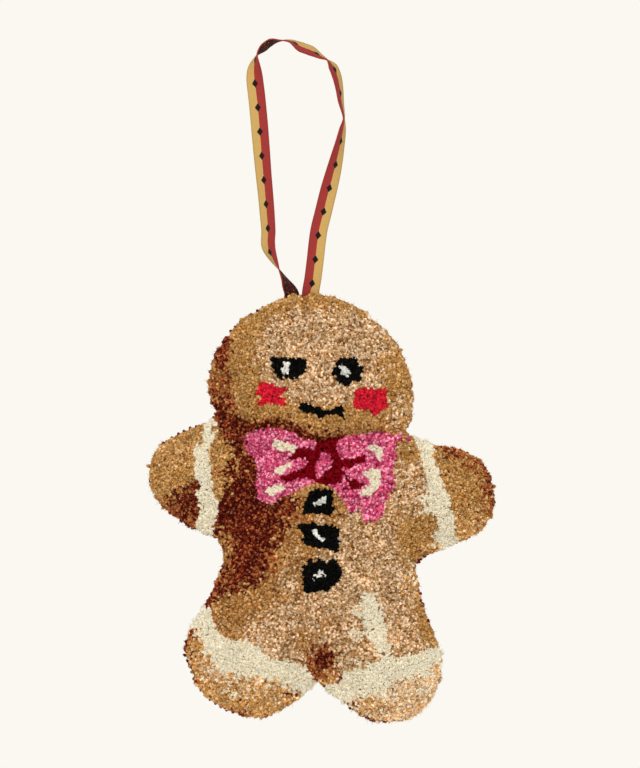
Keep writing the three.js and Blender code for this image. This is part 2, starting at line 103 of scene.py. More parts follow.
class Strand:
    def __init__(self, tree, socket=None):
        self.tree = tree
        self.socket = socket

    def node(self, kind, settings=None, sockets=None, output=0):
        made = self.tree.nodes.new("ShaderNode" + kind)
        for name, value in (settings or {}).items():
            setattr(made, name, value)
        for name, value in (sockets or {}).items():
            if isinstance(value, Strand):
                self.tree.links.new(value.socket, made.inputs[name])
            else:
                made.inputs[name].default_value = value
        return Strand(self.tree, made.outputs[output])

    def maths(self, operation, first, second=0.0):
        return self.node("Math", {"operation": operation}, {0: first, 1: second})

    def __add__(self, other):
        return self.maths("ADD", self, other)

    __radd__ = __add__

    def __sub__(self, other):
        return self.maths("SUBTRACT", self, other)

    def __rsub__(self, other):
        return self.maths("SUBTRACT", other, self)

    def __mul__(self, other):
        return self.maths("MULTIPLY", self, other)

    __rmul__ = __mul__

    def __truediv__(self, other):
        return self.maths("DIVIDE", self, other)

    def __mod__(self, other):
        return self.maths("FLOORED_MODULO", self, other)

    def __abs__(self):
        return self.maths("ABSOLUTE", self)

    def sine(self):
        return self.maths("SINE", self)

    def between(self, low, high):
        return self.node("MapRange", {"interpolation_type": "SMOOTHSTEP"}, {0: self, 1: low, 2: high})

    def mix(self, share, first, second, blend):
        settings = {"data_type": "RGBA", "blend_type": blend}
        return self.node("Mix", settings, {0: share, 6: first, 7: second}, 2)

    def mixed(self, first, second, blend="MIX"):
        return self.mix(self, first, second, blend)

    def shaded(self, colour):
        grey = self.node("CombineColor", None, {0: self, 1: self, 2: self})
        return self.mix(1.0, colour, grey, "MULTIPLY")

    def place(self):
        return self.node("TexCoord", None, None, "Object")

    def part(self, axis):
        return self.node("SeparateXYZ", None, {0: self}, axis)

    def speckle(self, scale, detail, **sockets):
        return self.node("TexNoise", None, {"Vector": self, "Scale": scale, "Detail": detail, **sockets})


def dye(red, green, blue):
    parts = [value / 255 for value in (red, green, blue)]
    return (*[p / 12.92 if p <= 0.04045 else ((p + 0.055) / 1.055) ** 2.4 for p in parts], 1.0)


def newMaterial(name, sheen=0.0, roughness=0.9, specular=0.3):
    material = bpy.data.materials.new(name)
    material.use_nodes = True
    surface = material.node_tree.nodes["Principled BSDF"]
    surface.inputs["Roughness"].default_value = roughness
    surface.inputs["Specular IOR Level"].default_value = specular
    surface.inputs["Sheen Weight"].default_value = sheen
    surface.inputs["Sheen Roughness"].default_value = 0.5
    return material, Strand(material.node_tree), surface


def finishMaterial(start, surface, colour, height, strength, depth):
    bump = start.node("Bump", None, {"Strength": strength, "Distance": depth, "Height": height})
    start.tree.links.new(colour.socket, surface.inputs["Base Color"])
    start.tree.links.new(bump.socket, surface.inputs["Normal"])


# small helpers for modelling


def alone(piece):
    if bpy.context.object and bpy.context.object.mode != "OBJECT":
        bpy.ops.object.mode_set(mode="OBJECT")
    bpy.ops.object.select_all(action="DESELECT")
    piece.select_set(True)
    bpy.context.view_layer.objects.active = piece


def cadCopy(name, *nodes):
    copies = [bpy.data.objects.new(name, frame["nodes"][node].data.copy()) for node in nodes]
    for copy in copies:
        bpy.context.scene.collection.objects.link(copy)
    alone(copies[0])
    for copy in copies:
        copy.select_set(True)
    if len(copies) > 1:
        bpy.ops.object.join()
    piece = bpy.context.object
    piece.data.materials.clear()
    bpy.ops.object.mode_set(mode="EDIT")
    bpy.ops.mesh.select_all(action="SELECT")
    bpy.ops.mesh.remove_doubles(threshold=0.01 * mm)
    bpy.ops.object.mode_set(mode="OBJECT")
    return piece


def applied(piece, kind, **settings):
    alone(piece)
    modifier = piece.modifiers.new(kind.title(), kind)
    for name, value in settings.items():
        setattr(modifier, name, value)
    bpy.ops.object.modifier_apply(modifier=modifier.name)


def smoothed(piece, iterations, **settings):
    applied(piece, "SMOOTH", factor=0.5, iterations=iterations, **settings)


def remeshed(piece, voxel):
    alone(piece)
    piece.data.remesh_voxel_size = voxel
    bpy.ops.object.voxel_remesh()


def pickRing(height):
    bpy.ops.mesh.select_all(action="DESELECT")
    mesh = bmesh.from_edit_mesh(bpy.context.object.data)
    for vertex in mesh.verts:
        vertex.select_set(abs(vertex.co.z - height) < 0.01)
    mesh.select_flush(True)
    bmesh.update_edit_mesh(bpy.context.object.data)


def finished(piece, name, body, slot, *materials):
    piece.name = name
    piece.data.name = name
    for material in materials:
        piece.data.materials.append(material)
    alone(piece)
    bpy.ops.object.shade_smooth()
    if body:
        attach(piece, body)


def unit(vectors):
    return vectors / np.linalg.norm(vectors, axis=1)[:, None]


def distancesAlong(points):
    return np.concatenate([[0], np.cumsum(np.linalg.norm(np.diff(points, axis=0), axis=1))])


def atSteps(even, along, points):
    return np.column_stack([np.interp(even, along, column) for column in points.T])


# the ribbon: two colours on its face, dark floats on its back

ribbon = {
    "width": 6.35 * mm,
    "thickness": 0.5 * mm,
    "step": 1.0 * mm,
    "acrossSteps": 8,
    "mustard": (213, 172, 100),
    "red": (166, 57, 52),
    "ink": (28, 22, 20),
    "back": (34, 15, 12),
    "bend": 3 * mm,  # how far above and below the swing line it bends
    # the pattern, in millimetres
    "warpPitch": 0.34,
    "weftPitch": 0.42,
    "floatPitch": 0.5,
    "lozengeEvery": 9.0,
    "lozengeHalf": (1.7, 1.25),  # along and across
    "colourLine": (0.12, 0.06),  # how far off the middle the colours meet, and over what half width
    "selvedge": (0.5, 0.2),  # it begins and is full this far from the edge
    # how the weave looks
    "speckle": 2.3,
    "speckleDepth": 0.2,
    "weaveDepth": 0.1,
    "ragged": (0.25, 0.35),  # the line between the colours, and the lozenges' edge
    "lozengeEdge": (0.86, 1.0),
    "selvedgeDark": 0.1,
    "faceBump": (0.6, 0.08 * mm),
    "floatScale": (0.5, 2.6),  # along and across
    "redFloats": (0.56, 0.64),
    "mustardFloats": (0.63, 0.7),
    "backBump": (0.7, 0.12 * mm),
    # x and z in millimetres, as in the part, and the turn of its face in degrees
    "route": [
        (2.425, -99, 180), (2.425, -94, 146), (0.6, -90.3, 122), (-0.1, -88.8, 110), (-2.3, -84.7, 90),
        (-6.2, -76.2, 39), (-6.2, -70.6, 38), (-6.7, -63.5, 33), (-7.3, -56.4, 31), (-8, -49.3, 26),
        (-8.9, -38.7, 15), (-9.8, -28.1, 0), (-10.5, -21, 0), (-11.3, -13.9, 17), (-11.4, -10.4, 40),
        (-10.9, -6.8, 75), (-10.4, -5.1, 90), (-8.1, -2.6, 113), (-5.3, -0.5, 110), (-2.1, 0.1, 90),
        (1.9, -0.1, 80), (5.7, -2.2, 55), (9.6, -3.7, 55), (13.2, -5.8, 74), (15.7, -7.1, 88),
        (17.8, -9.7, 60), (19.2, -13.2, 60), (20.1, -17.5, 66), (20.7, -22.4, 73), (21.8, -28.8, 88),
        (21.3, -33, 70), (20.2, -38.7, 58), (18.1, -47.9, 34), (16.1, -55.7, 15), (14.2, -63.5, 8),
        (12.5, -70.6, 8), (11.2, -81.2, 0), (10.3, -88.3, 0), (9.375, -94, 0), (9.375, -99, 0),
    ],
}


def smoothRoute(points, step):
    # a smooth curve through the points, at even steps, with the turn carried along
    places = np.array([(x, 0.0, z) for x, z, turn in points]) * mm
    turns = np.array([turn for x, z, turn in points], float)
    places = np.vstack([2 * places[0] - places[1], places, 2 * places[-1] - places[-2]])
    fine, fineTurns = [], []
    for i in range(1, len(places) - 2):
        before, here, there, after = places[i - 1:i + 3]
        gaps = [math.sqrt(np.linalg.norm(b - a)) for a, b in ((before, here), (here, there), (there, after))]
        out = (here - before) / gaps[0] - (there - before) / (gaps[0] + gaps[1]) + (there - here) / gaps[1]
        into = (there - here) / gaps[1] - (after - here) / (gaps[1] + gaps[2]) + (after - there) / gaps[2]
        for t in np.arange(0, 1, 0.02):
            fine.append((2 * t**3 - 3 * t**2 + 1) * here + (t**3 - 2 * t**2 + t) * gaps[1] * out
                        + (3 * t**2 - 2 * t**3) * there + (t**3 - t**2) * gaps[1] * into)
            fineTurns.append(turns[i - 1] + (turns[i] - turns[i - 1]) * t)
    fine, fineTurns = np.array(fine), np.array(fineTurns)
    along = distancesAlong(fine)
    even = np.linspace(0, along[-1], round(along[-1] / step) + 1)
    return atSteps(even, along, fine), np.interp(even, along, fineTurns), along[-1]


def ribbonFace():
    material, start, surface = newMaterial("ribbonFace", sheen=0.03, roughness=0.8, specular=0.12)
    uv = start.node("UVMap", {"uv_map": "weave"})
    along, across = uv.part(0), uv.part(1)  # both in millimetres
    middle = ribbon["width"] / mm / 2
    speckle = uv.speckle(ribbon["speckle"], 3.0)
    raggedLine, raggedLozenge = ribbon["ragged"]
    offMiddle, halfLine = ribbon["colourLine"]
    outer = (across + raggedLine * speckle - middle - offMiddle).between(-halfLine, halfLine)
    warp = (across * (2 * math.pi / ribbon["warpPitch"])).sine()
    weft = (along * (2 * math.pi / ribbon["weftPitch"])).sine()
    weave = warp * weft
    ground = outer.mixed(dye(*ribbon["red"]), dye(*ribbon["mustard"]))
    ground = (1.0 + ribbon["weaveDepth"] * weave + ribbon["speckleDepth"] * (speckle - 0.5)).shaded(ground)
    near = (along % ribbon["lozengeEvery"]) - ribbon["lozengeEvery"] / 2
    halfLong, halfWide = ribbon["lozengeHalf"]
    reach = abs(near) / halfLong + abs(across - middle) / halfWide + raggedLozenge * (speckle - 0.5)
    lozenge = 1 - reach.between(*ribbon["lozengeEdge"])
    colour = lozenge.mixed(ground, dye(*ribbon["ink"]))
    begins, full = ribbon["selvedge"]
    selvedge = abs(across - middle).between(middle - begins, middle - full)
    colour = (1 - ribbon["selvedgeDark"] * selvedge).shaded(colour)
    finishMaterial(start, surface, colour, weave + 1.5 * selvedge, *ribbon["faceBump"])
    return material


def ribbonBack():
    material, start, surface = newMaterial("ribbonBack", sheen=0.02, roughness=0.85, specular=0.1)
    uv = start.node("UVMap", {"uv_map": "weave"})
    along, across = uv.part(0), uv.part(1)
    scaleAlong, scaleAcross = ribbon["floatScale"]
    floats = start.node("CombineXYZ", None, {0: along * scaleAlong, 1: across * scaleAcross})
    streaks = floats.speckle(1.1, 2.0)
    flecks = floats.speckle(2.9, 2.0)
    colour = flecks.between(*ribbon["redFloats"]).mixed(dye(*ribbon["back"]), dye(*ribbon["red"]))
    colour = streaks.between(*ribbon["mustardFloats"]).mixed(colour, dye(*ribbon["mustard"]))
    ribs = (across * (2 * math.pi / ribbon["floatPitch"])).sine()
    colour = (0.9 + 0.12 * ribs).shaded(colour)
    finishMaterial(start, surface, colour, ribs + 2 * streaks, *ribbon["backBump"])
    return material


def makeRibbon():
    path, turns, length = smoothRoute(ribbon["route"], ribbon["step"])
    tangents = unit(np.gradient(path, axis=0))
    steps = len(path) - 1
    bpy.ops.object.select_all(action="DESELECT")
    bpy.ops.mesh.primitive_grid_add(x_subdivisions=steps, y_subdivisions=ribbon["acrossSteps"], size=1)
    piece = bpy.context.object
    weave = piece.data.uv_layers[0]
    weave.name = "weave"
    for loop in piece.data.loops:
        corner = piece.data.vertices[loop.vertex_index].co
        weave.data[loop.index].uv = ((corner.x + 0.5) * length / mm, (corner.y + 0.5) * ribbon["width"] / mm)
    for vertex in piece.data.vertices:
        row = round((vertex.co.x + 0.5) * steps)
        tangent = Vector(tangents[row])
        facing = Vector((0, -1, 0))
        facing.rotate(Quaternion(tangent, -math.radians(turns[row])))
        across = facing.cross(tangent)
        vertex.co = Vector(path[row]) + across * (vertex.co.y * ribbon["width"])
    for material in (ribbonFace(), ribbonBack()):
        piece.data.materials.append(material)
    applied(piece, "SOLIDIFY", thickness=ribbon["thickness"], offset=0, material_offset=1,
            material_offset_rim=0)
    finished(piece, "ribbon", None, "ribbon")
    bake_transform(piece)
    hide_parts("ribbon_loop", "ribbon_end_left", "ribbon_end_right")
    print("ribbon made,", round(length / mm), "mm long")


# where each tuft ends and starts

pile = {
    "spacing": 0.8 * mm,
    "tries": 30,  # places tried for each one kept
    "fillerSpacing": 0.6 * mm,  # shorter tufts fill the holes that are left
    "fillerDepth": 0.4 * mm,
    "voxel": 1.4 * mm,
    "smoothing": 9,
    "closeGaps": 0.35 * mm,  # the areas' solids stand this far apart and are grown together
    "behind": 2.3 * mm,  # no tuft ends nearer to the seam than this
    "radius": 0.74 * mm,
    "radiusSpread": 0.09,
    "heightSpread": 0.22 * mm,
    "straggler": 0.8 * mm,  # some tufts of the rim stand out this much
    "stragglers": 0.16,
    "rimLumps": 0.35 * mm,
    "rimCut": 0.4 * mm,  # the rim is cut shorter, and its loose ends make up for it
    "rimLumpSize": 2.6 * mm,
    "clumpLean": 0.55 * mm,
    "clumpSize": 5 * mm,
    "strayLean": 0.22 * mm,
    "mottleSize": 7 * mm,
    "rimPatches": (0.8, 1.6),  # how common the edge's yarn is, and how patchy
    "mottle": 0.16,  # slow change of lightness over the pile
    "plySpread": 0.15,
    "lift": 1.13,  # the tufts shade each other, so their dyes are lighter
    "backFacing": 0.45,  # no tuft ends where the pile faces the back more than this
    "rimFacing": 0.7,  # tufts that face the front less than this are in the rim
    "rimLight": 0.6,  # the painted root shade is weaker in the rim, as light comes through it
}

figureMiddle = np.array((13.0, 0.0, -173.0)) * mm

chin = [
    (-38, 36), (-30, 31), (-27, 29), (-22, 30), (-17, 31), (-12.5, 30), (-8, 27.4), (-3, 25.6), (2, 25),
    (8, 26.6), (14, 27.6), (21, 28), (33, 28.5),
]

# lines along which the pile parts, or swells where the depth is negative: points in the figure's own
# millimetres, half width and depth
partings = [
    (chin, 1.8, 3.0),
    ([(-30, 37), (-21, 35.5), (-11, 34), (0, 31), (12, 31), (21, 33), (30, 35)], 4.0, -0.9),
    ([(-34, 62), (-35, 50), (-33, 40), (-28, 31)], 1.6, 1.8),
    ([(-6, 80), (-5.5, 74)], 1.6, 2.6),
    ([(1, -50), (0, -58), (-1, -68)], 2.0, 2.2),
    # where the rim is trimmed shorter
    ([(-46, -62), (-40, -72), (-30, -79)], 4.0, 1.3),
    ([(-57, 25.5), (-50, 29.5), (-43, 32.5)], 4.0, 1.5),
    ([(-36, 63), (-27, 71.5), (-17, 77)], 4.0, 1.1),
    ([(-39, -20), (-40, -32)], 4.0, 1.2),
    ([(52, -12.5), (43, -17), (37, -21)], 4.0, 1.2),
    ([(46, 24.5), (54, 20.5)], 4.0, 0.7),
]


def pileForm():
    piece = cadCopy("pileForm", *pileNodes)
    applied(piece, "DISPLACE", strength=pile["closeGaps"], mid_level=0)
    remeshed(piece, pile["voxel"])
    smoothed(piece, pile["smoothing"])
    corners = np.array([vertex.co for vertex in piece.data.vertices])
    quads = np.array([face.vertices for face in piece.data.polygons])
    bpy.data.objects.remove(piece)
    # the remesh gives its faces in any order, so they are sorted for the seeded draws
    order = np.lexsort(corners.round(6).T)
    quads = order.argsort()[quads]
    turned = (quads.argmin(axis=1)[:, None] + np.arange(4)) % 4
    quads = np.take_along_axis(quads, turned, axis=1)
    quads = quads[np.lexsort(quads.T)]
    return corners[order], np.vstack([quads[:, [0, 1, 2]], quads[:, [0, 2, 3]]])


def scatterTips(corners, faces):
    a, b, c = (corners[faces[:, i]] for i in range(3))
    crosses = np.cross(b - a, c - a)
    areas = np.linalg.norm(crosses, axis=1) / 2
    facing = crosses / (2 * areas[:, None] + 1e-15)
    middles = (a + b + c) / 3
    areas[(facing[:, 1] > pile["backFacing"]) | (middles[:, 1] > -pile["behind"])] = 0
    count = int(areas.sum() / pile["spacing"] ** 2 * pile["tries"])
    chosen = dice.choice(len(faces), count, p=areas / areas.sum())
    u, v = dice.random(count), dice.random(count)
    flip = u + v > 1
    u[flip], v[flip] = 1 - u[flip], 1 - v[flip]
    tries = a[chosen] + u[:, None] * (b - a)[chosen] + v[:, None] * (c - a)[chosen]
    cells = np.floor(tries / pile["spacing"]).astype(int)
    around = [(x, y, z) for x in (-1, 0, 1) for y in (-1, 0, 1) for z in (-1, 0, 1)]
    taken, kept, short = {}, [], []
    for apart, lower in ((pile["spacing"], 0), (pile["fillerSpacing"], pile["fillerDepth"])):
        limit = apart**2
        for i, (cx, cy, cz) in enumerate(cells.tolist()):
            px, py, pz = tries[i].tolist()
            clear = True
            for x, y, z in around:
                for qx, qy, qz in taken.get((cx + x, cy + y, cz + z), ()):
                    if (px - qx) ** 2 + (py - qy) ** 2 + (pz - qz) ** 2 < limit:
                        clear = False
                        break
                if not clear:
                    break
            if clear:
                taken.setdefault((cx, cy, cz), []).append((px, py, pz))
                kept.append(i)
                short.append(lower)
    normals = facing[chosen[kept]]
    return tries[kept] - normals * np.array(short)[:, None], normals


def distanceToLine(points, line):
    # distance in the figure's plane, in millimetres
    flat = (points - figureMiddle)[:, [0, 2]] / mm
    best = np.full(len(points), 1e9)
    for start, end in zip(line[:-1], line[1:]):
        start, end = np.array(start), np.array(end)
        way = end - start
        share = np.clip(((flat - start) @ way) / (way @ way), 0, 1)
        best = np.minimum(best, np.linalg.norm(flat - start - share[:, None] * way, axis=1))
    return best


def leanTips(tips, normals, sideways):
    clumps = np.array([noise.noise_vector(Vector(p) / pile["clumpSize"]) for p in tips])
    stray = dice.normal(0, pile["strayLean"], tips.shape)
    lean = clumps * pile["clumpLean"] + stray
    lean -= normals * np.sum(lean * normals, axis=1)[:, None]
    lumps = np.array([noise.noise(Vector(p) / pile["rimLumpSize"]) for p in tips])
    height = dice.normal(0, pile["heightSpread"], len(tips)) * (1 + sideways)
    height += pile["rimLumps"] * sideways * lumps
    standsOut = dice.random(len(tips)) < pile["stragglers"]
    height += pile["straggler"] * sideways * standsOut - pile["rimCut"] * sideways
    for line, halfWidth, depth in partings:
        height -= depth * mm * np.exp(-((distanceToLine(tips, line) / halfWidth) ** 2))
    return tips + lean + normals * height[:, None]


def nodeTree(nodes):
    corners, faces, owners = [], [], []
    for number, node in enumerate(nodes):
        mesh = frame["nodes"][node].data
        shift = len(corners)
        corners += [vertex.co.copy() for vertex in mesh.vertices]
        faces += [[shift + i for i in face.vertices] for face in mesh.polygons]
        owners += [number] * len(mesh.polygons)
    return BVHTree.FromPolygons(corners, faces), owners


# the yarns: colours of their grains and how common each is

yarns = {
    "biscuit": [((194, 150, 88), 0.5), ((166, 117, 55), 0.3), ((216, 179, 124), 0.2)],
    "toast": [((190, 142, 82), 0.46), ((156, 104, 48), 0.3), ((217, 178, 124), 0.24)],
    "honey": [((212, 167, 104), 0.5), ((184, 133, 70), 0.28), ((234, 206, 160), 0.22)],
    "oat": [((233, 199, 152), 0.4), ((206, 162, 110), 0.26), ((243, 227, 200), 0.34)],
    "heather": [((192, 150, 98), 0.38), ((238, 215, 183), 0.34), ((214, 182, 142), 0.16),
                ((142, 98, 52), 0.12)],
    "cocoa": [((76, 11, 6), 0.44), ((128, 44, 20), 0.3), ((172, 100, 56), 0.26)],
    "umber": [((88, 20, 12), 0.34), ((146, 68, 36), 0.36), ((190, 124, 76), 0.3)],
    "rust": [((160, 92, 46), 0.48), ((186, 126, 74), 0.32), ((108, 40, 22), 0.2)],
    "cream": [((236, 228, 205), 0.85), ((228, 216, 190), 0.15)],
    "black": [((11, 11, 10), 0.7), ((22, 21, 19), 0.3)],
    "white": [((238, 236, 228), 0.8), ((214, 212, 204), 0.2)],
    "red": [((222, 40, 62), 0.7), ((192, 24, 46), 0.3)],
    "pink": [((218, 100, 138), 0.42), ((244, 170, 194), 0.27), ((182, 54, 92), 0.31)],
    "burgundy": [((130, 7, 20), 0.6), ((106, 4, 13), 0.4)],
    "maroon": [((126, 38, 34), 0.6), ((98, 24, 22), 0.4)],
}

# share of the usual spread of lightness
evenYarns = {"cream": 0.4}

yarnOfSlot = {
    "wool_tan": "biscuit", "wool_light": "heather", "wool_brown": "cocoa", "wool_cream": "cream",
    "wool_black": "black", "wool_white": "white", "wool_red": "red", "wool_pink": "pink",
    "wool_burgundy": "burgundy",
}
yarnOfNode = {
    "torso_pile": "toast", "foot_left": "honey", "foot_right": "oat",
    "head_shade": "umber", "crotch_shade": "rust", "hand_shade_right": "rust",
}

# how far, in millimetres, the tufts of two yarns stray into each other's areas
strayOfSlot = {"wool_tan": 1.5, "wool_light": 1.6, "wool_brown": 1.5, "wool_cream": 0.25}
strayOfNode = {
    "foot_left": 2.2, "foot_right": 2.0, "crotch_shade": 2.0, "torso_shade": 2.2, "hand_shade_right": 2.2,
    "hand_shade_left": 1.6, "thigh_drip": 1.0, "leg_stripe_left": 0.5, "leg_stripe_right": 0.5,
}
mixesWithCream = ("foot_left", "foot_right", "thigh_drip")

# yarn of the edge that shows in the rim, and how often
rimYarns = {"wool_brown": [("rust", 0.8), ("biscuit", 0.35)], "other": [("rust", 0.7), ("maroon", 0.55)]}

# where it shows: x and z in the figure's own millimetres, reach and share
rimSpots = [
    (-42, -68, 16, 1), (-24, -77, 12, 0.7), (10, -70, 12, 1), (24, -78, 10, 0.9), (63, 6, 13, 0.75),
    (52, 20, 9, 0.8), (-60, 6, 9, 0.5), (40, -34, 10, 0.7), (38, -18, 8, 1), (-49, -48, 8, 0.8),
    (34, 48, 8, 0.3), (-38, 46, 16, 0.8),
]
rimElsewhere = 0.08

# how soon the share falls off within the reach of a spot
mixedFull = 2
rimFull = 1.5

# dark yarn and painted shadow under the chin, half width in millimetres
chinYarnAndShadow = {"yarn": "cocoa", "share": 0.95, "halfWidth": 1.5, "line": chin[:10]}

# places where another yarn is mixed in: x and z in the figure's own millimetres, reach, yarn and share
mixedIn = [
    (32, 9, 15, "heather", 0.9), (33, 22, 7, "biscuit", 0.8), (1.5, -54.5, 5, "umber", 0.7),
    (1.5, -54.5, 4.5, "cocoa", 0.5), (44, 22, 6, "rust", 0.45), (49, 21, 3, "maroon", 0.6),
    (57, 17, 6, "rust", 0.5), (62, 10, 5, "rust", 0.5), (52, -8, 6, "honey", 0.5),
    (64, 0, 3, "maroon", 0.25), (64, -8, 4, "rust", 0.4), (-30.5, 52, 5, "biscuit", 0.95),
    (-31, 45, 5, "biscuit", 0.95), (-31, 39, 4, "biscuit", 0.4), (-38, 47, 8, "rust", 0.7),
    (-35, 35, 5, "rust", 0.5), (34, 54, 4, "rust", 0.4), (30, 37, 8, "heather", 0.5),
    (-48, -48, 4, "rust", 0.5), (-49, -56, 4, "maroon", 0.4), (-15.5, -70.5, 4.5, "oat", 0.4),
    (-11, -68.5, 3, "cocoa", 0.4), (-30, -77, 6, "rust", 0.25), (12, -72, 5, "rust", 0.5),
    (-44, -3, 6, "rust", 0.4), (-54, -1, 5, "rust", 0.6), (-35, -15, 6, "rust", 0.8),
    (-36, -25, 6, "rust", 0.5), (-38, -19, 4, "biscuit", 0.6), (-14, -4, 6, "rust", 0.3),
    (-20, -22, 7, "rust", 0.35), (-24, 24, 6, "rust", 0.3), (-34, -60, 8, "oat", 0.5),
    (-22, -64, 8, "oat", 0.4), (-30, -66, 7, "cream", 0.25), (22, -67, 9, "cream", 0.3),
    (8, 10, 4, "heather", 0.7), (-5, 76.5, 5, "biscuit", 0.8), (2, 76.5, 5, "biscuit", 0.9),
    (9, 76, 5, "biscuit", 0.9), (16, 73.5, 5, "biscuit", 0.9), (23, 70, 4, "biscuit", 0.7),
    (29, 54, 7, "honey", 0.5), (0, -4.5, 3, "heather", 0.8), (1, -18.5, 4, "heather", 0.8),
    (-11, -30, 5, "heather", 0.7), (29, 25.5, 2.2, "pink", 0.8), (32, 25, 1.8, "pink", 0.6),
    (22, -41, 3, "cream", 0.9), (22.5, -46, 3.5, "cream", 0.9), (23, -51, 3.5, "cream", 0.9),
    (24.5, -54.5, 3, "cream", 0.9), (24, 53, 5, "biscuit", 0.7), (29, 30, 4, "honey", 0.6),
    # painted shadow on brown yarn under the chin: the cocoa spot at -32.5, 28.5
    (-39, 45, 7, "biscuit", 0.2), (-32.5, 28.5, 5.5, "cocoa", 1), (-32.5, 24, 4, "cocoa", 0.5),
    (-32.5, 11.5, 5, "cocoa", 0.65), (-56, 18, 8, "honey", 0.5), (-50, 19, 5, "honey", 0.5),
    # painted shadow under the bow's left wing: the cocoa spot at -12.5, 1.5
    (50, 19.5, 4, "rust", 0.6), (-12.5, 1.5, 6, "cocoa", 0.9), (38.5, 3, 3, "cream", 0.6),
    (39, -1, 3, "cream", 0.4), (56.5, -5.5, 7, "honey", 0.85), (-34, -17, 4, "biscuit", 0.45),
    (-22.5, -19.5, 5, "cocoa", 0.75), (-7, -17, 4, "heather", 0.4), (33.5, -25, 7, "oat", 0.5),
    (34, -32, 5, "honey", 0.6), (-32.5, -27.5, 4, "cocoa", 0.7), (-12, -27.5, 5, "heather", 0.7),
    (40, -18, 4, "rust", 0.5), (14.5, -38, 3.5, "cream", 0.6), (14, -47, 4, "cream", 0.4),
    (13, -58, 4, "cream", 0.35), (-4, -50, 6, "toast", 0.6), (8.5, -59, 4, "heather", 0.7),
    (-41, -61, 7, "oat", 0.6), (3, -64, 4.5, "honey", 0.7), (29.5, -48, 4, "oat", 0.5),
    (8.5, -63.5, 3, "cream", 0.5), (19, -74, 5, "honey", 0.6), (60.5, -0.5, 4, "biscuit", 0.5),
    (-39, 51, 4, "biscuit", 0.5), (-33.5, 40, 3.5, "umber", 0.6), (-33, 4, 4, "cocoa", 0.6),
    (-12, -22, 4, "heather", 0.5), (3.5, -43, 5, "toast", 0.4), (-1.5, -53.5, 4, "umber", 0.5),
    (-36, -10.5, 4, "biscuit", 0.5), (-47.5, -4.5, 4, "rust", 0.5), (41.5, -13.5, 4.5, "honey", 0.7),
    (-56.5, 1, 4, "rust", 0.4), (-37, -25, 3.5, "biscuit", 0.5), (-32.5, 16.5, 4, "cocoa", 0.45),
    # painted shadow beside the bow's top left corner: the cocoa spot at -29, 25
    (-6.5, -4.5, 4, "rust", 0.5), (-12, 77.5, 3, "honey", 0.5), (-29, 25, 3, "cocoa", 0.7),
    (27, 33.5, 5, "heather", 0.6), (43.5, -11.5, 3.5, "cream", 0.6), (-47, -55, 4, "honey", 0.5),
    (39.5, -68.5, 4, "cream", 0.4), (34.5, -32, 4.5, "oat", 0.4), (-38, 13, 3.5, "rust", 0.4),
    (-3.5, -20.6, 2, "black", 0.9), (0.5, -20.4, 2, "black", 0.9), (4.5, -20.4, 2, "black", 0.9),
    (1, -57, 3.5, "cocoa", 0.7),
]

# the same for the plain yarns, which keep to themselves elsewhere
mixedInPlain = [
    (-44.8, 25.3, 3, "biscuit", 0.9), (-38.5, 30, 2.5, "biscuit", 0.5), (-46, 8.5, 2.2, "cocoa", 0.8),
    (-38.5, -7, 2.5, "rust", 0.7), (9, 9, 3.5, "pink", 0.5), (-1.9, -22.9, 1.6, "black", 1),
    (1.5, -26.2, 2, "black", 1), (-1, -27.6, 2.6, "black", 1), (-1.9, -11.9, 1.6, "black", 1),
    # painted shadow on the bow's top left corner: the burgundy spot at -28, 24.5
    (1.2, -8.6, 1.6, "black", 1), (2.7, -12.6, 1.5, "black", 0.9), (-28, 24.5, 2.5, "burgundy", 0.4),
]


def chooseAreas(tips):
    tree, owners = nodeTree(pileNodes)

    def owner(place):
        return owners[tree.find_nearest(place)[2]]

    reach = [strayOfNode.get(node, strayOfSlot.get(slotOf[node], 0)) * mm for node in pileNodes]
    shifts = dice.normal(0, 1, tips.shape) * (1, 0, 1)
    areas = []
    for tip, shift in zip(tips, shifts):
        here = owner(Vector(tip))
        if reach[here]:
            there = owner(Vector(tip + shift * reach[here]))
            toCream = slotOf[pileNodes[there]] == "wool_cream"
            if reach[there] and (not toCream or pileNodes[here] in mixesWithCream):
                here = there
        areas.append(here)
    return np.array(areas)


def chooseYarns(tips, areas, sideways):
    names = []
    flat = (tips - figureMiddle)[:, [0, 2]] / mm
    crease = np.exp(-((distanceToLine(tips, chinYarnAndShadow["line"]) / chinYarnAndShadow["halfWidth"]) ** 2))
    common, patchy = pile["rimPatches"]
    patches = [common + patchy * noise.noise(Vector(tip) / pile["mottleSize"]) for tip in tips]
    for (x, z), area, side, patch, dark in zip(flat, areas, sideways, patches, crease):
        node = pileNodes[area]
        name = yarnOfNode.get(node, yarnOfSlot[slotOf[node]])
        mixable = slotOf[node] in ("wool_tan", "wool_light", "wool_brown")
        for spotX, spotZ, reach, yarn, share in mixedIn if mixable else mixedInPlain:
            nearness = 1 - math.hypot(x - spotX, z - spotZ) / reach
            if nearness > 0 and dice.random() < share * min(1, mixedFull * nearness):
                name = yarn
        if mixable:
            if side > 0:
                shows = [share * min(1, rimFull - rimFull * math.hypot(x - spotX, z - spotZ) / reach)
                         for spotX, spotZ, reach, share in rimSpots]
                side *= max(rimElsewhere, *shows)
                for yarn, often in rimYarns.get(slotOf[node], rimYarns["other"]):
                    if dice.random() < often * side * max(0, patch):
                        name = yarn
            # dark yarn and painted shadow under the chin
            if dice.random() < chinYarnAndShadow["share"] * dark:
                name = chinYarnAndShadow["yarn"]
        names.append(name)
    return names


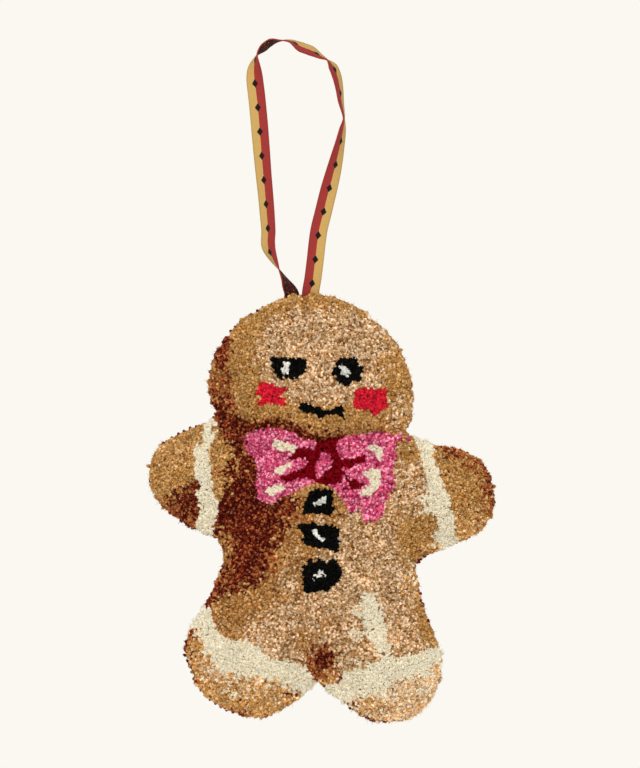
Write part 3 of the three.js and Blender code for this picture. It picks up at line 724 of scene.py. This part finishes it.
def chooseColours(tips, names):
    # each of a tuft's two plies takes its own grain of the tuft's yarn
    colours = np.ones((len(tips), 2, 4))
    for i, name in enumerate(names):
        grains = yarns[name]
        for ply in (0, 1):
            drawn = dice.choice(len(grains), p=[share for grain, share in grains])
            colours[i, ply] = dye(*grains[drawn][0])
    slow = np.array([noise.noise(Vector(tip) / pile["mottleSize"] + Vector((7, 3, 1))) for tip in tips])
    spread = dice.normal(0, pile["plySpread"], (len(tips), 2, 1)) + pile["mottle"] * slow[:, None, None]
    even = np.array([evenYarns.get(name, 1.0) for name in names])[:, None, None]
    colours[:, :, :3] *= pile["lift"] * np.exp(spread * even)
    return colours


# one tuft: two plies of yarn with blown ends, in units of its radius and length

tuft = {
    "sides": 5,
    "plyRadius": 0.6,
    "plyApart": 0.4,
    "shoulder": 0.88,
    "crown": 0.965,
    "bloom": 1.5,  # how much the cut end opens
    "crownSize": 0.7,
    "twist": 100,  # degrees from root to tip
    "kinds": [(1.0, 1.0), (1.16, 0.8), (0.86, 1.08)],  # sizes of the two plies
    "strands": 7,  # strands that show round a ply
}


def takeShape():
    # ends the edit of one shape: its faces point outwards, and it has a map of its own
    bpy.ops.mesh.select_all(action="SELECT")
    bpy.ops.mesh.normals_make_consistent(inside=False)
    bpy.ops.uv.smart_project(angle_limit=math.radians(60), island_margin=0.03)
    bpy.ops.object.mode_set(mode="OBJECT")
    piece = bpy.context.object
    shape = {
        "corners": np.array([vertex.co for vertex in piece.data.vertices]),
        "faces": [list(face.vertices) for face in piece.data.polygons],
        "uv": np.array([corner.uv for corner in piece.data.uv_layers.active.data]),
    }
    bpy.data.objects.remove(piece)
    return shape


def modelTuft(sizes):
    plies = []
    for side, size in zip((-1, 1), sizes):
        bpy.ops.object.select_all(action="DESELECT")
        across = side * tuft["plyApart"]
        bpy.ops.mesh.primitive_cylinder_add(vertices=tuft["sides"], radius=tuft["plyRadius"] * size, depth=1,
                                            end_fill_type="NOTHING", location=(across, 0, 0.5))
        bpy.ops.object.transform_apply(location=True)
        bpy.ops.object.mode_set(mode="EDIT")
        bpy.ops.mesh.select_all(action="SELECT")
        bpy.ops.mesh.bisect(plane_co=(0, 0, tuft["shoulder"]), plane_no=(0, 0, 1))
        for height, scale in ((tuft["shoulder"], tuft["bloom"]), (1, tuft["crownSize"])):
            pickRing(height)
            bpy.ops.transform.resize(value=(scale, scale, 1), center_override=(across, 0, height))
        bpy.ops.transform.translate(value=(0, 0, tuft["crown"] - 1))
        bpy.ops.mesh.extrude_region_move(TRANSFORM_OT_translate={"value": (0, 0, 1 - tuft["crown"])})
        bpy.ops.mesh.merge(type="CENTER")
        bpy.ops.object.mode_set(mode="OBJECT")
        plies.append(bpy.context.object)
    alone(plies[0])
    plies[1].select_set(True)
    bpy.ops.object.join()
    bpy.ops.object.mode_set(mode="EDIT")
    for height in (tuft["shoulder"], tuft["crown"], 1):
        pickRing(height)
        bpy.ops.transform.rotate(value=math.radians(tuft["twist"] * height), orient_axis="Z",
                                 center_override=(0, 0, height))
    return takeShape()


def endPlaces(corners):
    # each corner's place across its own ply, so that the strands can run in to the ply's end
    places = np.zeros_like(corners)
    for ply in np.split(np.arange(len(corners)), 2):
        for height in np.unique(corners[ply, 2].round(3)):
            ring = ply[corners[ply, 2].round(3) == height]
            places[ring, :2] = corners[ring, :2] - corners[ring, :2].mean(axis=0)
    return places


def standTufts(shapes, roots, tips, radii):
    # one modelled shape for each tuft, stood from its root to its tip and spun at random
    axis = tips - roots
    up = unit(axis)
    aside = np.where(np.abs(up[:, 2:3]) < 0.9, (0.0, 0.0, 1.0), (1.0, 0.0, 0.0))
    first = unit(np.cross(aside, up))
    second = np.cross(up, first)
    spin = dice.random(len(roots)) * 2 * math.pi
    c, s = np.cos(spin)[:, None], np.sin(spin)[:, None]
    first, second = first * c + second * s, second * c - first * s
    flatWay = shapes[:, :, 0:1] * first[:, None] + shapes[:, :, 1:2] * second[:, None]
    return roots[:, None] + radii[:, None, None] * flatWay + shapes[:, :, 2:3] * axis[:, None]


def plantCopies(name, faces, corners, uv, along, colours, ends=0.0):
    # one mesh of many copies, each with its own cell of the bake map
    count, size = corners.shape[:2]
    loops = np.concatenate(faces)
    starts = np.cumsum([0] + [len(face) for face in faces][:-1])
    mesh = bpy.data.meshes.new(name)
    mesh.vertices.add(count * size)
    mesh.vertices.foreach_set("co", corners.ravel())
    mesh.loops.add(count * len(loops))
    mesh.loops.foreach_set("vertex_index", (loops[None] + size * np.arange(count)[:, None]).ravel())
    mesh.polygons.add(count * len(starts))
    mesh.polygons.foreach_set("loop_start", (starts[None] + len(loops) * np.arange(count)[:, None]).ravel())
    mesh.update(calc_edges=True)
    given = {
        "grain": ("FLOAT_COLOR", "color", np.repeat(colours, size // colours.shape[1], axis=1)),
        "along": ("FLOAT", "value", np.broadcast_to(along, (count, size))),
        "end": ("FLOAT_VECTOR", "vector", np.broadcast_to(ends, (count, size, 3))),
    }
    for label, (kind, key, values) in given.items():
        mesh.attributes.new(label, kind, "POINT").data.foreach_set(key, values.ravel())
    cells = math.ceil(math.sqrt(count))
    cell = np.column_stack([np.arange(count) % cells, np.arange(count) // cells])
    bake = mesh.uv_layers.new(name="OFBake")
    bake.data.foreach_set("uv", ((cell[:, None] + uv) / cells).ravel())
    piece = bpy.data.objects.new(name, mesh)
    bpy.context.scene.collection.objects.link(piece)
    return piece


# sheen of each yarn, how much painted shade darkens and deepens its colour at the root, and how strong the
# painted light and shade on its strands are
woolSheenAndShade = {
    "wool_black": (0.0, 0.3, 0.16), "wool_cream": (0.05, 0.3, 0.07), "wool_burgundy": (0.0, 0.5, 0.16),
    "other": (0.04, 0.9, 0.16),
}
woolGrain = {
    "scale": 4200.0,
    "wander": 9,  # how much the strands waver
    "light": (0.7, 0.6),  # darkest, and how much lighter a fibre can be
    "rootShadeTo": (0.8, 0.99),  # where along the tuft the painted root shade ends
    "strandHeight": 0.08,
    "bump": 0.7,
    "depth": 0.2 * mm,
}


def wool(slot):
    sheen, rootShade, strandShade = woolSheenAndShade.get(slot, woolSheenAndShade["other"])
    material, start, surface = newMaterial(slot, sheen=sheen, roughness=0.95, specular=0.03)
    grain = start.node("Attribute", {"attribute_name": "grain"})
    along = start.node("Attribute", {"attribute_name": "along"}, None, 2)
    place = start.place()
    fibres = place.speckle(woolGrain["scale"], 2.0)
    end = start.node("Attribute", {"attribute_name": "end"}, None, 1)
    bearing = start.maths("ARCTAN2", end.part(0), end.part(1))
    strands = (bearing * tuft["strands"] + woolGrain["wander"] * fibres).sine()
    # painted shade at the root: the colour is multiplied by itself there, darker and deeper
    deep = rootShade * (1 - along.between(*woolGrain["rootShadeTo"]))
    darkest, lighter = woolGrain["light"]
    # painted light and shade on the strands: lighter on their ridges, darker between them
    colour = (darkest + lighter * fibres + strandShade * strands).shaded(deep.mixed(grain, grain, "MULTIPLY"))
    height = fibres + woolGrain["strandHeight"] * strands
    finishMaterial(start, surface, colour, height, woolGrain["bump"], woolGrain["depth"])
    return material


# loose fibres that stand out of the cut ends

fibre = {
    "perTuft": 2,
    "radius": 0.06 * mm,
    "start": 0.35 * mm,  # how far below the tuft's end they come out
    "length": 1.05 * mm,
    "lengthSpread": 0.3,
    "lean": 0.9,
    "scatter": 0.25 * mm,
    "middle": 0.5,
    "swell": 1.7,  # how much thicker the middle is than a plain cone
    "bow": 3.0,  # sideways bow in the middle, in radii
    # painted highlight: the loose fibres are made this much lighter than their tufts
    "lightness": 1.4,
    "lightnessSpread": 0.45,
    "lightest": 0.88,
}


def modelFibre():
    bpy.ops.object.select_all(action="DESELECT")
    bpy.ops.mesh.primitive_cone_add(vertices=3, radius1=1, radius2=0, depth=1, end_fill_type="NOTHING",
                                    location=(0, 0, 0.5))
    bpy.ops.object.transform_apply(location=True)
    bpy.ops.object.mode_set(mode="EDIT")
    bpy.ops.mesh.select_all(action="SELECT")
    middle = (0, 0, fibre["middle"])
    bpy.ops.mesh.bisect(plane_co=middle, plane_no=(0, 0, 1))
    pickRing(fibre["middle"])
    bpy.ops.transform.resize(value=(fibre["swell"], fibre["swell"], 1), center_override=middle)
    bpy.ops.transform.translate(value=(fibre["bow"], 0, 0))
    return takeShape()


def makeFibres(slot, material, roots, tips, colours):
    shape = modelFibre()
    ways = unit(np.repeat(tips - roots, fibre["perTuft"], axis=0))
    starts = np.repeat(tips, fibre["perTuft"], axis=0) - ways * fibre["start"]
    starts += dice.normal(0, fibre["scatter"], starts.shape)
    ways = unit(ways + dice.normal(0, fibre["lean"] / 2, ways.shape))
    lengths = fibre["length"] * np.exp(dice.normal(0, fibre["lengthSpread"], len(ways)))
    shapes = np.broadcast_to(shape["corners"], (len(ways), *shape["corners"].shape))
    radii = np.full(len(ways), fibre["radius"])
    corners = standTufts(shapes, starts, starts + ways * lengths[:, None], radii)
    tints = colours[:, :fibre["perTuft"]].reshape(-1, 1, 4).copy()
    spread = dice.normal(0, fibre["lightnessSpread"], (len(ways), 1, 1))
    # painted highlight on the loose fibres, spread at random and kept below the lightest
    tints[:, :, :3] *= fibre["lightness"] * np.exp(spread)
    tints[:, :, :3] /= np.maximum(1, tints[:, :, :3].max(axis=2, keepdims=True) / fibre["lightest"])
    piece = plantCopies(slot + "_fibres", shape["faces"], corners, shape["uv"][None], 1.0, tints)
    finished(piece, slot + "_fibres", "figure", slot, material)


def makePile():
    tips, normals = scatterTips(*pileForm())
    cloth = nodeTree(["tufting_cloth"])[0]
    sideways = np.clip(1 + normals[:, 1] / pile["rimFacing"], 0, 1)
    tips = leanTips(tips, normals, sideways)
    areas = chooseAreas(tips)
    colours = chooseColours(tips, chooseYarns(tips, areas, sideways))
    roots = np.array([cloth.find_nearest(Vector(tip))[0] for tip in tips])
    radii = pile["radius"] * np.exp(dice.normal(0, pile["radiusSpread"], len(tips)))
    templates = [modelTuft(sizes) for sizes in tuft["kinds"]]
    faces = templates[0]["faces"]
    modelled, maps = (np.array([template[key] for template in templates]) for key in ("corners", "uv"))
    ends = np.array([endPlaces(corners) for corners in modelled])
    print(len(tips), "tufts placed,", len(faces), "faces each")
    materials = {}
    for number, node in enumerate(pileNodes):
        slot = slotOf[node]
        materials.setdefault(slot, wool(slot))
        mine = np.flatnonzero(areas == number)
        kinds = dice.integers(len(templates), size=len(mine))
        shapes = modelled[kinds]
        corners = standTufts(shapes, roots[mine], tips[mine], radii[mine])
        # the painted root shade along each tuft, weaker in the rim
        along = 1 - (1 - shapes[:, :, 2]) * (1 - pile["rimLight"] * sideways[mine])[:, None]
        piece = plantCopies(node, faces, corners, maps[kinds], along, colours[mine], ends[kinds])
        finished(piece, node + "_tufts", "figure", slot, materials[slot])
        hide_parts(node)
    slots = np.array([slotOf[pileNodes[area]] for area in areas])
    for slot in materials:
        mine = np.flatnonzero(slots == slot)
        makeFibres(slot, materials[slot], roots[mine], tips[mine], colours[mine])
    print("pile made")


# the seam: the edge is whipped with dark yarn, which also holds the ribbon's ends

seam = {
    "pitch": 2.5 * mm,
    "inside": 2.1 * mm,  # centre of the wrap, in from the edge
    "wrap": 2.0 * mm,
    "yarn": 0.58 * mm,
    "sides": 6,
    "steps": 8,
    "sweep": 235,  # degrees
    "slant": 1.4 * mm,
    "scatter": 0.12 * mm,
    "dye": "maroon",
    "tackPitch": 0.9 * mm,
    "tackSize": 0.2,
}


def seamLine():
    # the outer edge of the binding's front face, in order round the figure
    mesh = bmesh.new()
    mesh.from_mesh(frame["nodes"]["edge_binding"].data)
    bmesh.ops.remove_doubles(mesh, verts=mesh.verts, dist=0.01 * mm)
    near = {}
    for edge in mesh.edges:
        if sorted(face.normal.y < -0.9 for face in edge.link_faces) == [False, True]:
            one, other = edge.verts
            near.setdefault(one, []).append(other)
            near.setdefault(other, []).append(one)
    loops = []
    while near:
        first = next(iter(near))
        loop = [first]
        while True:
            onward = [vertex for vertex in near.pop(loop[-1]) if vertex in near]
            if not onward:
                break
            loop.append(onward[0])
        loops.append(np.array([(vertex.co.x, vertex.co.z) for vertex in loop]))
    mesh.free()
    return max(loops, key=lambda loop: np.ptp(loop[:, 0]))


def evenLoop(points, pitch):
    # a smooth closed curve through the points, at even steps
    before, after, beyond = np.roll(points, 1, 0), np.roll(points, -1, 0), np.roll(points, -2, 0)
    t = np.linspace(0, 1, 12, endpoint=False)[:, None, None]
    fine = 0.5 * (2 * points + (after - before) * t + (2 * before - 5 * points + 4 * after - beyond) * t**2
                  + (3 * points - before - 3 * after + beyond) * t**3)
    fine = fine.transpose(1, 0, 2).reshape(-1, 2)
    fine = np.vstack([fine, fine[:1]])
    along = distancesAlong(fine)
    even = np.linspace(0, along[-1], round(along[-1] / pitch), endpoint=False)
    return atSteps(even, along, fine)


def outwardWays(loop):
    way = unit(np.roll(loop, -1, 0) - np.roll(loop, 1, 0))
    x, z = loop.T
    turn = np.sign(np.sum(x * np.roll(z, -1) - np.roll(x, -1) * z))
    return np.column_stack([way[:, 1], -way[:, 0]]) * turn


def modelStitch():
    bpy.ops.object.select_all(action="DESELECT")
    bpy.ops.mesh.primitive_circle_add(vertices=seam["sides"], radius=seam["yarn"],
                                      location=(seam["wrap"], 0, 0), rotation=(math.pi / 2, 0, 0))
    bpy.ops.object.transform_apply(location=True, rotation=True)
    bpy.ops.object.mode_set(mode="EDIT")
    bpy.ops.mesh.select_all(action="SELECT")
    sweep = math.radians(seam["sweep"])
    bpy.ops.mesh.spin(steps=seam["steps"], angle=sweep, center=(0, 0, 0), axis=(0, 0, 1))
    bpy.ops.mesh.select_all(action="SELECT")
    bpy.ops.mesh.remove_doubles(threshold=0.001 * mm)
    bpy.ops.mesh.fill_holes(sides=0)
    stitch = takeShape()
    x, y, z = stitch["corners"].T
    bearing = np.unwrap(np.arctan2(y, x) % (2 * math.pi))
    middle = (bearing.min() + bearing.max()) / 2
    c, s = math.cos(middle), math.sin(middle)
    slanted = z + seam["slant"] * (bearing - middle) / sweep
    stitch["corners"] = np.column_stack([x * c + y * s, y * c - x * s, slanted])
    return stitch


def inDepth(flat):
    return np.column_stack([flat[:, 0], np.zeros(len(flat)), flat[:, 1]])


def plantStitches(name, stitch, places, out, back, size):
    # out points away from the cloth, back to the rear, and the stitch slants along the third way
    out, back = (np.broadcast_to(way, places.shape) for way in (out, back))
    along = np.cross(out, back)
    shape = stitch["corners"] * size
    corners = (places[:, None] + shape[None, :, 0:1] * out[:, None] + shape[None, :, 1:2] * back[:, None]
               + shape[None, :, 2:3] * along[:, None])
    corners += dice.normal(0, seam["scatter"] * size, (len(places), 1, 3))
    grains = yarns[seam["dye"]]
    drawn = dice.choice(len(grains), len(places), p=[share for grain, share in grains])
    colours = np.array([dye(*grains[i][0]) for i in drawn])[:, None]
    return plantCopies(name, stitch["faces"], corners, stitch["uv"][None], 1.0, colours)


def makeSeam(edge):
    stitch = modelStitch()
    flat = evenLoop(edge, seam["pitch"])
    out = outwardWays(flat)
    places = inDepth(flat - out * seam["inside"])
    whipping = plantStitches("seam_whipping", stitch, places, inDepth(out), (0, 1, 0), 1.0)
    finished(whipping, "seam_whipping", "figure", "seam_yarn", wool("seam_yarn"))
    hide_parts("edge_binding")
    low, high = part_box("ribbon_tack")
    across = np.arange(low.x + seam["tackPitch"] / 2, high.x, seam["tackPitch"])
    places = np.array([(x, low.y, (low.z + high.z) / 2) for x in across])
    tack = plantStitches("ribbon_tack_stitches", stitch, places, (0, 1, 0), (0, 0, 1), seam["tackSize"])
    finished(tack, "ribbon_tack_stitches", "figure", "thread", wool("thread"))
    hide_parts("ribbon_tack")
    print("seam made,", len(out), "stitches")


# the cloths: the felt back, and inside the tufting cloth, its latex and the stuffing

cloths = {
    "back": (122, 76, 50),
    "felt": 0.9 * mm,
    "hem": 1.3 * mm,
    "hemTurn": 0.5 * mm,
    "hemFront": -0.5 * mm,
    "hemAtRibbon": 0.35 * mm,
    "pucker": 0.5 * mm,
    "puckerReach": 3.5 * mm,
    "puckerSteps": 8,  # steps from stitch to stitch
    "canvas": 0.8 * mm,
    "thread": 1.1 * mm,  # from one pair of the canvas's threads to the next
    "canvasColour": (214, 198, 166),
    "latexColour": (226, 214, 186),
    "fibreColour": (238, 236, 230),
    "fibreVoxel": 4 * mm,
    "fibreSmoothing": 4,
    "fibreLumps": 1.2 * mm,
    "fibreLumpSize": 9 * mm,
    "smoothing": 12,
}


feltGrain = {
    "mottle": 160.0,
    "matting": 620.0,
    "fibres": 2200.0,
    "pale": (0.56, 0.66),
    "dark": (0.34, 0.44),
    "shades": (1, 1.5, 0.6),  # plain, pale and dark
    "shares": (0.4, 0.5),  # how strongly the pale and the dark matting show
    "bump": (0.8, 0.35 * mm),
}


def felt():
    material, start, surface = newMaterial("backFelt", sheen=0.25, roughness=0.95, specular=0.1)
    place = start.place()
    mottle = place.speckle(feltGrain["mottle"], 5.0, Roughness=0.65)
    matting = place.speckle(feltGrain["matting"], 3.0, Distortion=2.5)
    fibres = place.speckle(feltGrain["fibres"], 3.0, Distortion=1.5)
    pale = matting.between(*feltGrain["pale"])
    dark = 1 - matting.between(*feltGrain["dark"])
    plain, light, deep = (dye(*[shade * part for part in cloths["back"]]) for shade in feltGrain["shades"])
    paleShare, darkShare = feltGrain["shares"]
    colour = (0.55 + 0.85 * mottle + 0.35 * (fibres - 0.5)).shaded(plain)
    colour = (paleShare * pale).mixed(colour, light)
    colour = (darkShare * dark).mixed(colour, deep)
    finishMaterial(start, surface, colour, fibres + 2 * matting + 2 * mottle, *feltGrain["bump"])
    return material


def canvas():
    material, start, surface = newMaterial("tuftingCanvas", roughness=0.9)
    place = start.place()
    warp, weft = ((place.part(axis) * (2 * math.pi / cloths["thread"])).sine() for axis in (0, 2))
    threads = warp * weft
    slubs = place.speckle(400.0, 2.0)
    colour = (0.8 + 0.12 * threads + 0.2 * slubs).shaded(dye(*cloths["canvasColour"]))
    finishMaterial(start, surface, colour, threads + slubs, 0.6, 0.2 * mm)
    return material


def plainMottled(name, colour, scale, roughness):
    material, start, surface = newMaterial(name, roughness=roughness)
    place = start.place()
    mottle = place.speckle(scale, 4.0)
    finishMaterial(start, surface, (0.84 + 0.3 * mottle).shaded(dye(*colour)), mottle, 0.5, 0.4 * mm)
    return material


def openSkin(name, node, facing):
    # one face of a cloth's solid, made finer and smoothed inside its edge
    piece = cadCopy(name, node)
    bpy.ops.object.mode_set(mode="EDIT")
    bpy.ops.mesh.select_mode(type="FACE")
    mesh = bmesh.from_edit_mesh(piece.data)
    for face in mesh.faces:
        face.select_set(face.normal.y * facing < 0.2)
    bmesh.update_edit_mesh(piece.data)
    bpy.ops.mesh.delete(type="FACE")
    bpy.ops.mesh.select_mode(type="VERT")
    bpy.ops.object.mode_set(mode="OBJECT")
    applied(piece, "SUBSURF", levels=2, render_levels=2)
    skin = bmesh.new()
    skin.from_mesh(piece.data)
    inner = [vertex.index for vertex in skin.verts if not vertex.is_boundary]
    skin.free()
    piece.vertex_groups.new(name="inner").add(inner, 1.0, "REPLACE")
    smoothed(piece, cloths["smoothing"], vertex_group="inner")
    piece.vertex_groups.clear()
    return piece


def puckered(piece, edge):
    # the felt is drawn in at each stitch
    steps = cloths["puckerSteps"]
    stitches = evenLoop(edge, seam["pitch"] / steps)
    for vertex in piece.data.vertices:
        gaps = np.linalg.norm(stitches - (vertex.co.x, vertex.co.z), axis=1)
        nearest = int(gaps.argmin())
        pull = math.cos(2 * math.pi * nearest / steps) * math.exp(-gaps[nearest] / cloths["puckerReach"])
        vertex.co.y -= cloths["pucker"] * pull


def hemmed(piece, edge):
    # the edge is turned out, then forward to the tufting cloth or to the ribbon's ends
    fine = evenLoop(edge, seam["pitch"] / 2)
    out = outwardWays(fine)
    left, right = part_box("ribbon_end_left")[0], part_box("ribbon_end_right")[1]

    def turnOut(place):
        nearest = int(np.linalg.norm(fine - (place.x, place.z), axis=1).argmin())
        place += Vector((out[nearest][0], 0, out[nearest][1])) * cloths["hem"]
        place.y -= cloths["hemTurn"]

    def turnForward(place):
        atRibbon = left.x < place.x < right.x and place.z > left.z
        place.y = cloths["hemAtRibbon" if atRibbon else "hemFront"]

    alone(piece)
    bpy.ops.object.mode_set(mode="EDIT")
    bpy.ops.mesh.select_all(action="DESELECT")
    bpy.ops.mesh.select_mode(type="EDGE")
    bpy.ops.mesh.select_non_manifold()
    for turn in (turnOut, turnForward):
        bpy.ops.mesh.extrude_region_move(TRANSFORM_OT_translate={"value": (0, 0, 0)})
        mesh = bmesh.from_edit_mesh(piece.data)
        for vertex in mesh.verts:
            if vertex.select:
                turn(vertex.co)
        bmesh.update_edit_mesh(piece.data)
    bpy.ops.mesh.select_mode(type="VERT")
    bpy.ops.object.mode_set(mode="OBJECT")


def clothArea(piece):
    return sum(face.area for face in piece.data.polygons)


def makeCloths(edge):
    back = openSkin("back_felt", "back_panel", 1)
    puckered(back, edge)
    hemmed(back, edge)
    area = clothArea(back)
    applied(back, "SOLIDIFY", thickness=cloths["felt"], offset=-1)
    finished(back, "back_felt", "figure", "back_cloth", felt())
    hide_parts("back_panel")
    print("back felt made,", round(area * 1e6), "square mm over the stuffing")
    base = openSkin("tufting_canvas", "tufting_cloth", -1)
    area = clothArea(base)
    applied(base, "SOLIDIFY", thickness=cloths["canvas"], offset=-1)
    finished(base, "tufting_canvas", "figure", "tufting_cloth", canvas())
    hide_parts("tufting_cloth")
    print("tufting canvas made,", round(area * 1e6), "square mm")
    filling = cadCopy("stuffing_fibre", "stuffing")
    remeshed(filling, cloths["fibreVoxel"])
    smoothed(filling, cloths["fibreSmoothing"])
    for vertex in filling.data.vertices:
        lump = 0.6 + 0.4 * noise.noise(vertex.co / cloths["fibreLumpSize"])
        vertex.co -= vertex.normal * cloths["fibreLumps"] * lump
    applied(filling, "SUBSURF", levels=1, render_levels=1)
    loose = plainMottled("polyFibre", cloths["fibreColour"], 300.0, 0.95)
    finished(filling, "stuffing_fibre", "figure", "stuffing", loose)
    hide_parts("stuffing")
    latex = frame["nodes"]["latex_coat"]
    latex.data.materials.clear()
    latex.data.materials.append(plainMottled("latexCoat", cloths["latexColour"], 160.0, 0.5))
    print("inside made")


# floor, light and background

studio = {
    "paper": (251, 248, 242),
    "floorDrop": 100 * mm,
    "floorSize": 1.1,
    "floorGlow": 0.8,  # share of the floor's colour that doesn't hang on the light
    "floorFade": (0.55, 1.05),  # it fades into the background between these
    "lampSize": 1.2,
    "lampAim": (0.013, 0, -0.15),
    "keyPlace": (-0.9, -1.6, 1.1),
    "keyPower": 20.5,
    "fillPlace": (1.2, -1.4, 0.2),
    "fillPower": 8.0,
    "skyStrength": 0.57,
}


def seenRays(start):
    names = ("Is Camera Ray", "Is Glossy Ray", "Is Transmission Ray")
    camera, glossy, through = (start.node("LightPath", None, None, name) for name in names)
    return start.maths("MAXIMUM", camera, start.maths("MAXIMUM", glossy, through))


def makeFloor(paper):
    bpy.ops.object.select_all(action="DESELECT")
    floorHeight = cadBox[0].z - studio["floorDrop"]
    bpy.ops.mesh.primitive_circle_add(vertices=96, radius=studio["floorSize"], fill_type="NGON",
                                      location=(figureMiddle[0], 0, floorHeight))
    floor = bpy.context.object
    floor.name = "floor"
    bpy.ops.object.transform_apply(location=True)
    material, start, surface = newMaterial("floorPaper", roughness=0.9)
    surface.inputs["Base Color"].default_value = paper
    glow = start.node("Emission", None, {"Color": paper, "Strength": 1.0})
    clear = start.node("BsdfTransparent")
    reach = start.node("VectorMath", {"operation": "LENGTH"}, {0: start.place()}, 1)
    matt = Strand(start.tree, surface.outputs[0])
    lit = start.node("MixShader", None, {0: seenRays(start) * studio["floorGlow"], 1: matt, 2: glow})
    faded = start.node("MixShader", None, {0: reach.between(*studio["floorFade"]), 1: lit, 2: clear})
    start.tree.links.new(faded.socket, start.tree.nodes["Material Output"].inputs["Surface"])
    floor.data.materials.append(material)


def makeLamps():
    for name, power in (("key", studio["keyPower"]), ("fill", studio["fillPower"])):
        place = Vector(studio[name + "Place"])
        bpy.ops.object.light_add(type="AREA", location=place)
        lamp = bpy.context.object
        lamp.name = name
        lamp.data.energy = power
        lamp.data.size = studio["lampSize"]
        lamp.rotation_euler = (Vector(studio["lampAim"]) - place).to_track_quat("-Z", "Y").to_euler()


def makeSky(paper):
    world = bpy.data.worlds.new("studio")
    bpy.context.scene.world = world
    world.use_nodes = True
    sky = world.node_tree.nodes["Background"]
    start = Strand(world.node_tree)
    seen = seenRays(start)
    colour = seen.mixed((1.0, 1.0, 1.0, 1.0), paper)
    start.tree.links.new(colour.socket, sky.inputs["Color"])
    strength = studio["skyStrength"] + (1 - studio["skyStrength"]) * seen
    start.tree.links.new(strength.socket, sky.inputs["Strength"])


def makeStage():
    paper = dye(*studio["paper"])
    makeFloor(paper)
    makeLamps()
    makeSky(paper)
    bpy.context.scene.view_settings.view_transform = "Standard"
    print("stage set")


setUpCamera()
makeRibbon()
makePile()
edge = seamLine()
makeSeam(edge)
makeCloths(edge)
makeStage()
